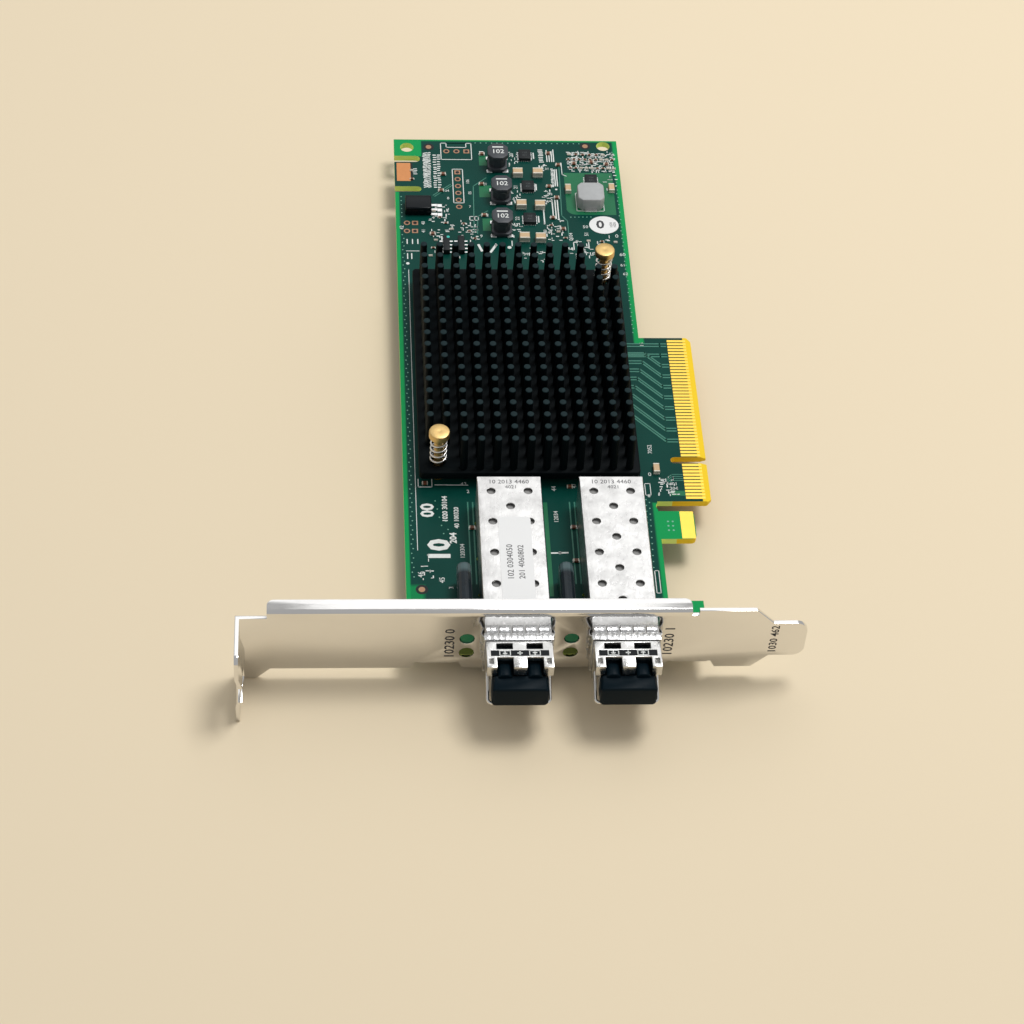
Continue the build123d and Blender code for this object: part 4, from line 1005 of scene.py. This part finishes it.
for x, y in MEMORY_PLACES:
    for offset in LEG_OFFSETS:
        add_box(lands, (x - 1.6, x + 1.6), (y + offset - LEG_HALF, y + offset + LEG_HALF), (0.0, 0.22))
for x, y in INDUCTOR_PLACES:
    add_path(lands, [(x - 2.0, y + 3.3), (x + 2.1, y + 3.3)], 0.35, 0.0, LAND_HEIGHT)
finish_piece("chip_lands", lands, solder_tin)
finish_piece("chip_marks", chip_marks, laser_mark)
add_disc(memory_mark, (12.55, 85.7), 0.4, 1.5, 0.02, 12)
finish_piece("memory_mark", memory_mark, turquoise_print)

# %% [markdown]
# ## Heat sink
# This is the part that one sees first: a cold-forged plate with 226 round pins, black anodised. Forging
# needs a draft, so each pin is a little narrower at its top. The plate is cut out of the CAD solid, and the
# pins are cones with a bevelled rim, which catches the thin ring of light that the photograph shows on each.

# %% Plate and pins
SINK_PLATE_TOP = 4.45
SINK_TOP = 14.0
PIN_SUNK = 0.1
PIN_PITCH = 3.717
PIN_FIRST = (5.898, 6.2555)
PIN_COLUMNS = 13
PIN_ROWS = 18
PIN_RADII = (0.90, 0.77)
PIN_SIDES = 16
PIN_RIM = 0.13
PLATE_ROUNDING = 0.25
CUT_BELOW = 0.002
sink = copy_of_node("heat_sink")
cut_above(sink, SINK_PLATE_TOP - CUT_BELOW)
soften(sink, PLATE_ROUNDING)
pin_tops = []
low_radius, top_radius = PIN_RADII
pin_low = SINK_PLATE_TOP - PIN_SUNK
for column in range(PIN_COLUMNS):
    for row in range(PIN_ROWS):
        near_corner = column < 2 and row < 2
        far_corner = column >= PIN_COLUMNS - 2 and row >= PIN_ROWS - 2
        if near_corner or far_corner:
            continue
        place = (PIN_FIRST[0] + column * PIN_PITCH, PIN_FIRST[1] + row * PIN_PITCH)
        verts = add_disc(sink, place, low_radius, pin_low, SINK_TOP - pin_low, PIN_SIDES, top_radius)
        pin_tops += [vert for vert in verts if vert.co.z > SINK_TOP - 0.01]
rims = [edge for edge in edges_of(pin_tops) if not is_upright(edge)]
bevel_edges(sink, rims, PIN_RIM, 2)
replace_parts(finish_piece("pin_fin_sink", sink, anodised, smooth_below=40), "heat_sink")

# %% [markdown]
# ## Push pins and springs
# A turned brass pin goes through the sink and the board, and its split tip locks below. A coil spring under
# the wide head presses the sink down. A turned shape is one outline spun round its axis, and a coil is a
# small circle spun round the same axis while it climbs.


# %% Turned and coiled shapes
def add_turned(bm, outline, place, sides=32):
    """Spin an outline of radius and height round an upright axis."""
    x, y = place
    verts = [bm.verts.new((x + radius, y, z)) for radius, z in outline]
    edges = [bm.edges.new(pair) for pair in zip(verts, verts[1:])]
    bmesh.ops.spin(
        bm, geom=verts + edges, cent=(x, y, 0), axis=(0, 0, 1), angle=math.tau, steps=sides,
        use_merge=True, use_duplicate=False,
    )
    bmesh.ops.remove_doubles(bm, verts=bm.verts, dist=0.0005)
    bmesh.ops.recalc_face_normals(bm, faces=bm.faces)


def close_ends(bm):
    """Cap the open ends of a swept tube and point its faces outwards."""
    open_edges = [edge for edge in bm.edges if edge.is_boundary]
    bmesh.ops.holes_fill(bm, edges=open_edges, sides=0)
    bmesh.ops.recalc_face_normals(bm, faces=bm.faces)


def add_coil(bm, place, radius, wire, low, high, turns, steps_per_turn=20, sides=8):
    """A coil spring of round wire."""
    x, y = place
    stand = Matrix.Translation((x + radius, y, low)) @ Matrix.Rotation(math.pi / 2, 4, "X")
    ring = bmesh.ops.create_circle(bm, cap_ends=False, segments=sides, radius=wire, matrix=stand)["verts"]
    steps = int(turns * steps_per_turn)
    climb = (0, 0, (high - low) / steps)
    bmesh.ops.spin(
        bm, geom=ring + list(edges_of(ring)), cent=(x, y, 0), axis=(0, 0, 1), dvec=climb,
        angle=math.tau * turns, steps=steps, use_merge=False, use_duplicate=False,
    )
    close_ends(bm)


# %% Pins and coils
PUSH_PINS = {"front": (7.757, 8.114), "rear": (48.644, 67.586)}
PIN_OUTLINE = (
    (0, 14.12), (0.35, 14.2), (2.05, 14.2), (2.22, 14.12), (2.3, 13.95), (2.3, 12.6), (2.15, 12.45),
    (1.3, 12.3), (1.05, 12.1), (1.05, -1.77), (1.85, -1.77), (1.85, -2.1), (0.75, -4.25), (0.5, -4.47),
    (0, -4.47),
)
COIL_RADIUS = 1.75
COIL_WIRE = 0.25
COIL_SPAN = (4.72, 12.1)
COIL_TURNS = 4.5
for end, place in PUSH_PINS.items():
    turned, coil = bmesh.new(), bmesh.new()
    add_turned(turned, PIN_OUTLINE, place)
    piece = finish_piece(f"brass_pin_{end}", turned, turned_brass, smooth_below=30)
    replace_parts(piece, f"push_pin_{end}")
    add_coil(coil, place, COIL_RADIUS, COIL_WIRE, *COIL_SPAN, COIL_TURNS)
    piece = finish_piece(f"coil_{end}", coil, bright_wire, smooth_below=60)
    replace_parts(piece, f"pin_spring_{end}")

# %% [markdown]
# ## Cages
# A cage is stamped and folded from thin tinned sheet. The walls, the floor and the tails that hold it to the
# board are the solid's own. The roof is a sheet of its own here, because only then can its punched vents be
# truly round and its long edges rounded. Printed figures stand on both cages, and a paper label on one.

# %% Cage shells
CAGE_HALF = 7.0
CAGE_REAR_Y = -1.53
CAGE_MOUTH_Y = -47.9
VENT_RADIUS = 1.0
VENT_ASIDE = 4.05
VENT_PAIR_Y = (-5.73, -14.58, -23.43, -32.28)
VENT_SINGLE_Y = (-10.155, -19.005, -27.855, -36.705)
ROOF_SHEET = 0.25
SEAM_ASIDE = 3.6
SIDE_TAB_Y = (-39.0, -36.0)
SIDE_TAB_Z = (2.4, 5.4)
TAB_REACH = 0.12
TAB_SUNK = 0.02


def outer_long_edge(port):
    """A test for the long outer edges of a cage."""
    def test(edge):
        ends = [vert.co for vert in edge.verts]
        along = abs(ends[0].y - ends[1].y) > 3.0
        return along and all(abs(abs(co.x - port) - CAGE_HALF) < 0.01 for co in ends)
    return test


def add_roof(port):
    """The roof of a cage: the sheet between its outline and its round vents, thickened downwards."""
    vents = [(port + side * VENT_ASIDE, y) for y in VENT_PAIR_Y for side in SIDES]
    vents += [(port, y) for y in VENT_SINGLE_Y]
    roof = bmesh.new()
    middle = Matrix.Translation((port, (CAGE_MOUTH_Y + CAGE_REAR_Y) / 2, CAGE_TOP))
    size = Matrix.Diagonal((CAGE_HALF * 2, CAGE_REAR_Y - CAGE_MOUTH_Y, 1.0, 1.0))
    bmesh.ops.create_grid(roof, x_segments=1, y_segments=1, size=0.5, matrix=middle @ size)
    bmesh.ops.delete(roof, geom=roof.faces[:], context="FACES_ONLY")
    for place in vents:
        spot = Matrix.Translation((*place, CAGE_TOP))
        bmesh.ops.create_circle(roof, cap_ends=False, segments=20, radius=VENT_RADIUS, matrix=spot)
    filled = bmesh.ops.triangle_fill(
        roof, edges=roof.edges[:], use_beauty=True, use_dissolve=False, normal=(0, 0, 1),
    )
    thicken_down(roof, [item for item in filled["geom"] if isinstance(item, bmesh.types.BMFace)], ROOF_SHEET)
    soften(roof, 0.22, segments=3, sharper_than=60, keep=outer_long_edge(port))
    return roof


for number, port in enumerate(PORTS):
    shell = copy_of_node(f"cage_{number}")
    cut_above(shell, CAGE_TOP - ROOF_SHEET - CUT_BELOW)
    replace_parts(finish_piece(f"cage_shell_{number}", shell, cage_tin), f"cage_{number}")
    roof_piece = finish_piece(f"cage_roof_{number}", add_roof(port), cage_tin)
    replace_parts(roof_piece, f"cage_{number}")
    tabs = bmesh.new()
    for side in SIDES:
        x = port + side * SEAM_ASIDE
        add_path(tabs, [(x, CAGE_REAR_Y + 0.05), (x, CAGE_REAR_Y + 0.02)], 0.5, 2.0, 6.0)
        wall = port + side * CAGE_HALF
        tab_x = sorted((wall - side * TAB_SUNK, wall + side * TAB_REACH))
        add_box(tabs, tab_x, SIDE_TAB_Y, SIDE_TAB_Z)
    finish_piece(f"cage_rims_{number}", tabs, cage_tin)

# %% Print on the cages, the label and the sticker
INK = 0.02
LABEL_TOP = CAGE_TOP + 0.1
STICKER_PLACE = (51.2, 91.9)
STICKER_RADIUS = 3.25
STICKER_TOP = 0.1
STICKER_STRETCH = (1.12, 0.98, 1.0, 1.0)
cage_print, label_print, sticker = bmesh.new(), bmesh.new(), bmesh.new()
for port in PORTS:
    add_number(cage_print, "10 2013 4460", 1.15, (port - 0.1, -3.05), 0, CAGE_TOP, INK)
    add_number(cage_print, "4021", 0.95, (port + 0.35, -4.6), 0, CAGE_TOP, INK)
finish_piece("cage_print", cage_print, dark_print)
label = softened_copy("cage_label", 0.9, segments=4, keep=is_upright)
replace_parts(finish_piece("paper_label", label, label_paper), "cage_label")
add_disc(sticker, STICKER_PLACE, STICKER_RADIUS, 0.0, STICKER_TOP, 48)
from_middle = Matrix.Translation((*STICKER_PLACE, 0.0)).inverted()
stretch = Matrix.Diagonal(STICKER_STRETCH)
bmesh.ops.transform(sticker, matrix=stretch, verts=sticker.verts, space=from_middle)
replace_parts(finish_piece("round_sticker", sticker, label_paper), "board_sticker")
add_number(label_print, "102 0304050", 1.35, (22.0, -26.3), 90, LABEL_TOP, INK)
add_number(label_print, "201 4060802", 1.3, (24.4, -26.3), 90, LABEL_TOP, INK)
add_number(label_print, "0", 2.9, (50.3, 91.9), 0, STICKER_TOP, INK, bold=0.1)
for x in (53.0, 53.9):
    add_number(label_print, "1020", 0.7, (x, 91.9), 90, STICKER_TOP, INK)
finish_piece("label_print", label_print, dark_print)

# %% [markdown]
# ## Spring finger collar
# The collar grounds the cage to the bracket. It is one strip of springy sheet, folded round the mouth and cut
# into arched fingers. Each finger is a small grid bent into an arch and thickened. The band behind them is
# four walls, with a row of small ribs along its upper one.

# %% Arched fingers
COLLAR_HALF = 7.05
COLLAR_LOW = -0.05
COLLAR_HIGH = CAGE_TOP + 0.05
FINGER_ROOT_Y = -46.0
FINGER_TIP_Y = -43.95
FINGER_PITCH = 2.75
FINGER_WIDTH = 2.4
FINGER_RISE = 0.5
FINGER_FULLNESS = 0.7
FINGERS_ACROSS = 5
FINGERS_UP = 3
RIPPLE = 0.05
SHEET = 0.2
RIB_COUNT = 11
RIB_PITCH = 1.27
RIB_HALF = 0.38


def add_finger(bm, stand):
    """One ribbed finger, arched along its length."""
    run = FINGER_TIP_Y - FINGER_ROOT_Y
    middle = Matrix.Translation((0, (FINGER_TIP_Y + FINGER_ROOT_Y) / 2, 0))
    size = Matrix.Diagonal((FINGER_WIDTH, run, 1.0, 1.0))
    verts = bmesh.ops.create_grid(bm, x_segments=6, y_segments=8, size=0.5, matrix=middle @ size)["verts"]
    for vert in verts:
        along = min(max((vert.co.y - FINGER_ROOT_Y) / run, 0.0), 1.0)
        across = vert.co.x / FINGER_WIDTH
        arch = FINGER_RISE * max(math.sin(math.pi * along), 0.0) ** FINGER_FULLNESS
        vert.co.z = arch + RIPPLE * math.cos(across * math.tau * 2) - 0.03
    faces = list({face for vert in verts for face in vert.link_faces})
    bmesh.ops.transform(bm, matrix=stand, verts=verts)
    bmesh.ops.recalc_face_normals(bm, faces=faces)
    bmesh.ops.solidify(bm, geom=faces, thickness=-SHEET * 0.8)


def finger_stands(port):
    """The place and turn of each finger round a port."""
    for index in range(FINGERS_ACROSS):
        x = port + (index - FINGERS_ACROSS // 2) * FINGER_PITCH
        yield Matrix.Translation((x, 0, COLLAR_HIGH))
        yield Matrix.Translation((x, 0, COLLAR_LOW)) @ Matrix.Rotation(math.pi, 4, "Y")
    for index in range(FINGERS_UP):
        z = CAGE_TOP / 2 + (index - FINGERS_UP // 2) * FINGER_PITCH
        for side in SIDES:
            turn = Matrix.Rotation(side * math.pi / 2, 4, "Y")
            yield Matrix.Translation((port + side * COLLAR_HALF, 0, z)) @ turn


def add_band(bm, port):
    """The band round the mouth: four walls, and small ribs on the upper one."""
    inner, outer = COLLAR_HALF, COLLAR_HALF + SHEET
    top = COLLAR_HIGH + SHEET
    walls = (
        ((port - outer, port + outer), (COLLAR_HIGH, top)),
        ((port - outer, port + outer), (COLLAR_LOW - SHEET, COLLAR_LOW)),
        ((port - outer, port - inner), (COLLAR_LOW, COLLAR_HIGH)),
        ((port + inner, port + outer), (COLLAR_LOW, COLLAR_HIGH)),
    )
    for x, z in walls:
        add_box(bm, x, (CAGE_MOUTH_Y, FINGER_ROOT_Y + 0.05), z)
    for index in range(RIB_COUNT):
        x = port - COLLAR_HALF + 0.7 + index * RIB_PITCH
        rib_y = (CAGE_MOUTH_Y + 0.15, FINGER_ROOT_Y - 0.1)
        add_box(bm, (x - RIB_HALF, x + RIB_HALF), rib_y, (top - 0.02, top + 0.1))


for number, port in enumerate(PORTS):
    collar = bmesh.new()
    add_band(collar, port)
    soften(collar, 0.07)
    for stand in finger_stands(port):
        add_finger(collar, stand)
    piece = finish_piece(f"finger_collar_{number}", collar, spring_sheet)
    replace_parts(piece, f"cage_collar_{number}")

# %% [markdown]
# ## Bracket
# The bracket is one blank of steel sheet, folded and bright plated. Its own solid has the right outline and
# bends. What a press leaves on it is a small rounding of every edge, which draws a thin line of light along
# the rims of the openings. The figures for the two ports are printed beside them.

# %% Bracket, its figures and screws
PORT_FIGURES = (("10230 0", 8.74, 3.9, 2.1), ("10230 1", 55.0, 4.4, 2.1), ("1030 462", 77.3, 4.9, 1.7))
SCREW_PLACES = ((6.12, -38.7), (59.9, -38.7))
SCREW_OUTLINE = (
    (0, 0.95), (0.5, 0.95), (0.62, 1.66), (1.3, 1.7), (1.9, 1.45), (2.4, 0.85), (2.4, 0.0), (1.25, 0.0),
    (1.25, -3.2), (1.05, -3.33), (0, -3.33),
)
bracket = softened_copy("mounting_bracket", 0.14)
bracket_piece = finish_piece("plated_bracket", bracket, nickel, smooth_below=40)
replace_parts(bracket_piece, "mounting_bracket")
port_figures, screws = bmesh.new(), bmesh.new()
stood_up = Matrix.Rotation(math.pi / 2, 4, "X") @ Matrix.Rotation(math.pi / 2, 4, "Z")
for text, x, z, height in PORT_FIGURES:
    stand = Matrix.Translation((x, BRACKET_FACE_Y - 0.012, z)) @ stood_up
    add_number(port_figures, text, height, (0, 0), stand=stand, bold=0.03)
finish_piece("port_figures", port_figures, dark_print)
for place in SCREW_PLACES:
    add_turned(screws, SCREW_OUTLINE, place, 28)
screw_piece = finish_piece("pan_screws", screws, screw_zinc, smooth_below=30)
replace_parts(screw_piece, "bracket_screws")

# %% [markdown]
# ## Transceivers
# The nose is a zinc casting with crisp but rounded edges, so the solid is copied and bevelled. The strip
# between its windows carries two boxed arrows, one for each direction of the light, and a plus between them.

# %% Noses, strips and arrows
STRIP_Y = -51.25
STRIP_TOP = 9.9
ARROW_ASIDE = 3.1


def add_strip_mark(bm, points, width):
    """A raised line on the strip."""
    add_path(bm, points, width, STRIP_TOP, INK)


for number, port in enumerate(PORTS):
    body = f"transceiver_{number}"
    nose = softened_copy(f"transceiver_housing_{number}", 0.12)
    piece = finish_piece(f"nose_casting_{number}", nose, cast_nickel, body, 40)
    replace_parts(piece, f"transceiver_housing_{number}")
    strip = softened_copy(f"marker_strip_{number}", 0.04, segments=1)
    piece = finish_piece(f"dark_strip_{number}", strip, strip_plastic, body)
    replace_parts(piece, f"marker_strip_{number}")
    arrows = bmesh.new()
    for way in SIDES:
        x = port + way * ARROW_ASIDE
        wing_y = STRIP_Y + way * 0.05
        add_outline(arrows, (x - 1.1, x + 1.1), (STRIP_Y - 0.6, STRIP_Y + 0.6), 0.18, STRIP_TOP, INK)
        add_strip_mark(arrows, [(x, STRIP_Y - 0.4), (x, STRIP_Y + 0.4)], 0.26)
        add_strip_mark(arrows, [(x - 0.35, wing_y), (x, STRIP_Y + way * 0.42), (x + 0.35, wing_y)], 0.22)
    add_strip_mark(arrows, [(port - 0.4, STRIP_Y), (port + 0.4, STRIP_Y)], 0.26)
    add_strip_mark(arrows, [(port, STRIP_Y - 0.4), (port, STRIP_Y + 0.4)], 0.26)
    finish_piece(f"strip_arrows_{number}", arrows, white_print, body)

# %% [markdown]
# ## Dust plugs
# A dust plug is soft black plastic. Every edge is rounded, and the grip's front carries the sheen. Its form
# is the solid's own, with a wider rounding on the grip than on the lobes.

# %% Plugs
GRIP_BEFORE_Y = -55.2
LOBES_BEHIND_Y = -55.0
for number in range(len(PORTS)):
    plug = copy_of_node(f"dust_plug_{number}")
    soften(plug, 0.3, segments=3, keep=lambda edge: all(vert.co.y < GRIP_BEFORE_Y for vert in edge.verts))
    soften(
        plug, 0.1, segments=1, sharper_than=50,
        keep=lambda edge: all(vert.co.y > LOBES_BEHIND_Y for vert in edge.verts),
    )
    piece = finish_piece(f"soft_plug_{number}", plug, plug_plastic, f"dust_plug_{number}", 40)
    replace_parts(piece, f"dust_plug_{number}")

# %% [markdown]
# ## Bails
# A bail is one bent wire: two stubs turn in the nose, two arms reach forward and a bar joins them. The wire's
# round end is extruded along each straight run and spun round each bend, the way a bending machine makes it.


# %% Bent wire
def of_kind(made, kind):
    """The vertices or the edges among what an operator made."""
    return [item for item in made if isinstance(item, kind)]


def add_bent_wire(bm, corners, radii, wire, sides=12, steps=6):
    """A round wire along straight runs, with a bend of its own radius at each corner."""
    corners = [Vector(corner) for corner in corners]
    heading = (corners[1] - corners[0]).normalized()
    stand = Matrix.Translation(corners[0]) @ heading.to_track_quat("Z", "Y").to_matrix().to_4x4()
    verts = bmesh.ops.create_circle(bm, cap_ends=False, segments=sides, radius=wire, matrix=stand)["verts"]
    edges = list(edges_of(verts))
    at = corners[0]
    for index, corner in enumerate(corners[1:]):
        last = index == len(radii)
        stop = corner if last else corner - heading * radii[index]
        made = bmesh.ops.extrude_edge_only(bm, edges=edges)["geom"]
        verts = of_kind(made, bmesh.types.BMVert)
        edges = [edge for edge in of_kind(made, bmesh.types.BMEdge) if edge.is_boundary]
        bmesh.ops.translate(bm, verts=verts, vec=stop - at)
        if last:
            break
        ahead = (corners[index + 2] - corner).normalized()
        made = bmesh.ops.spin(
            bm, geom=verts + edges, cent=stop + ahead * radii[index], axis=heading.cross(ahead).normalized(),
            angle=heading.angle(ahead), steps=steps, use_merge=False, use_duplicate=False,
        )["geom_last"]
        verts, edges = of_kind(made, bmesh.types.BMVert), of_kind(made, bmesh.types.BMEdge)
        heading = ahead
        at = corner + heading * radii[index]
    close_ends(bm)


# %% Bails
BAIL_WIRE = 0.4
BAIL_BENDS = (0.5, 0.8, 0.8, 0.5)
BAIL_TIP = 5.475
BAIL_ARM = 6.5
BAIL_PIVOT = (-51.1, 3.5)
BAIL_END = (-57.1, 0.7)
for number, port in enumerate(PORTS):
    corners = [
        (port - BAIL_TIP, *BAIL_PIVOT), (port - BAIL_ARM, *BAIL_PIVOT), (port - BAIL_ARM, *BAIL_END),
        (port + BAIL_ARM, *BAIL_END), (port + BAIL_ARM, *BAIL_PIVOT), (port + BAIL_TIP, *BAIL_PIVOT),
    ]
    wire = bmesh.new()
    add_bent_wire(wire, corners, BAIL_BENDS, BAIL_WIRE)
    piece = finish_piece(f"wire_bail_{number}", wire, bright_wire, f"bail_{number}", 50)
    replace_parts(piece, f"bail_{number}")

# %% [markdown]
# ## Underside
# The far side of the board shows only what comes through: the solder round the ring pads' holes and round the
# cages' tails. It is kept plain, because the photograph doesn't show that side.

# %% Solder below
BOARD_UNDER = -1.57
TAIL_ASIDE = 6.875
TAIL_FIRST_Y = -6.53
TAIL_PITCH = 10.4
TAILS_PER_SIDE = 4
below = bmesh.new()
for place in ROUND_PADS + SQUARE_PADS:
    add_disc(below, place, 0.75, BOARD_UNDER - 0.12, 0.14, 16, 0.85)
for port in PORTS:
    for side in SIDES:
        for row in range(TAILS_PER_SIDE):
            place = (port + side * TAIL_ASIDE, TAIL_FIRST_Y - row * TAIL_PITCH)
            add_disc(below, place, 0.8, BOARD_UNDER - 0.25, 0.27, 14, 0.85)
finish_piece("solder_below", below, solder_tin)

# %% [markdown]
# ## Stage and light
# A pale warm floor, two square soft lights and a little light from everywhere. The smaller light stands high
# above the card and makes the shadows. The wide dim one hangs beyond the card, where the flat cage tops
# mirror it towards the camera, because flat metal shows what stands opposite it. The floor does the same
# for the upright face of the bracket.

# %% Floor and lights
FLOOR_REACH = 4.0
FLOOR_GAP = 0.0002
ROOM_LIGHT = 0.45
floor_finish = plain_finish(
    "pale_floor", (0.80, 0.68, 0.49), (0.7, 0.85), (3.0, 0.04), (300.0, EVEN, 0.05), Specular_IOR_Level=0.1,
)
floor_mesh = bpy.data.meshes.new("pale_floor")
floor_shape = bmesh.new()
floor_place = Matrix.Translation((0, 0, cad_low.z - FLOOR_GAP))
bmesh.ops.create_grid(floor_shape, x_segments=1, y_segments=1, size=FLOOR_REACH, matrix=floor_place)
floor_shape.to_mesh(floor_mesh)
floor_shape.free()
floor_mesh.materials.append(floor_finish)
floor = bpy.data.objects.new("pale_floor", floor_mesh)
bpy.context.scene.collection.objects.link(floor)


def add_softbox(name, place, size, watts):
    """A square area light that faces the middle of the card."""
    light = bpy.data.lights.new(name, "AREA")
    light.shape = "SQUARE"
    light.size = size
    light.energy = watts
    holder = bpy.data.objects.new(name, light)
    holder.location = place
    holder.rotation_euler = (-Vector(place)).to_track_quat("-Z", "Y").to_euler()
    bpy.context.scene.collection.objects.link(holder)


add_softbox("key_softbox", (0.30, 0.16, 0.95), 0.35, 5.6)
add_softbox("far_panel", (0.08, 0.80, 0.89), 0.9, 2.2)
world = bpy.data.worlds.new("soft_room")
bpy.context.scene.world = world
world.use_nodes = True
background = world.node_tree.nodes["Background"].inputs
background["Color"].default_value = (1.0, 1.0, 1.0, 1.0)
background["Strength"].default_value = ROOM_LIGHT

# %% [markdown]
# ## Camera
# The photograph was taken close to the card with a short telephoto view. Its place, its direction and its
# slight roll were worked out from points on the card whose real distances are known.

# %% Camera
CAMERA_PLACE = Vector((-0.041158, -0.426023, 0.441171))
CAMERA_LOOK = Vector((0.069235, 0.667538, -0.741350)).normalized()
CAMERA_ROLL = math.radians(4.33)
flat_right = CAMERA_LOOK.cross(Vector((0, 0, 1))).normalized()
flat_up = flat_right.cross(CAMERA_LOOK).normalized()
right = flat_right * math.cos(CAMERA_ROLL) + flat_up * math.sin(CAMERA_ROLL)
up = right.cross(CAMERA_LOOK).normalized()
lens = bpy.data.cameras.new("camera")
lens.lens = 92.78
lens.sensor_width = 36.0
lens.shift_x = 0.002523
lens.shift_y = -0.00098
camera = bpy.data.objects.new("camera", lens)
camera.matrix_world = Matrix((
    (right.x, up.x, -CAMERA_LOOK.x, CAMERA_PLACE.x),
    (right.y, up.y, -CAMERA_LOOK.y, CAMERA_PLACE.y),
    (right.z, up.z, -CAMERA_LOOK.z, CAMERA_PLACE.z),
    (0.0, 0.0, 0.0, 1.0),
))
bpy.context.scene.collection.objects.link(camera)
bpy.context.scene.camera = camera
bpy.context.scene.view_settings.view_transform = "Standard"
print("camera", [round(value, 4) for value in camera.location])
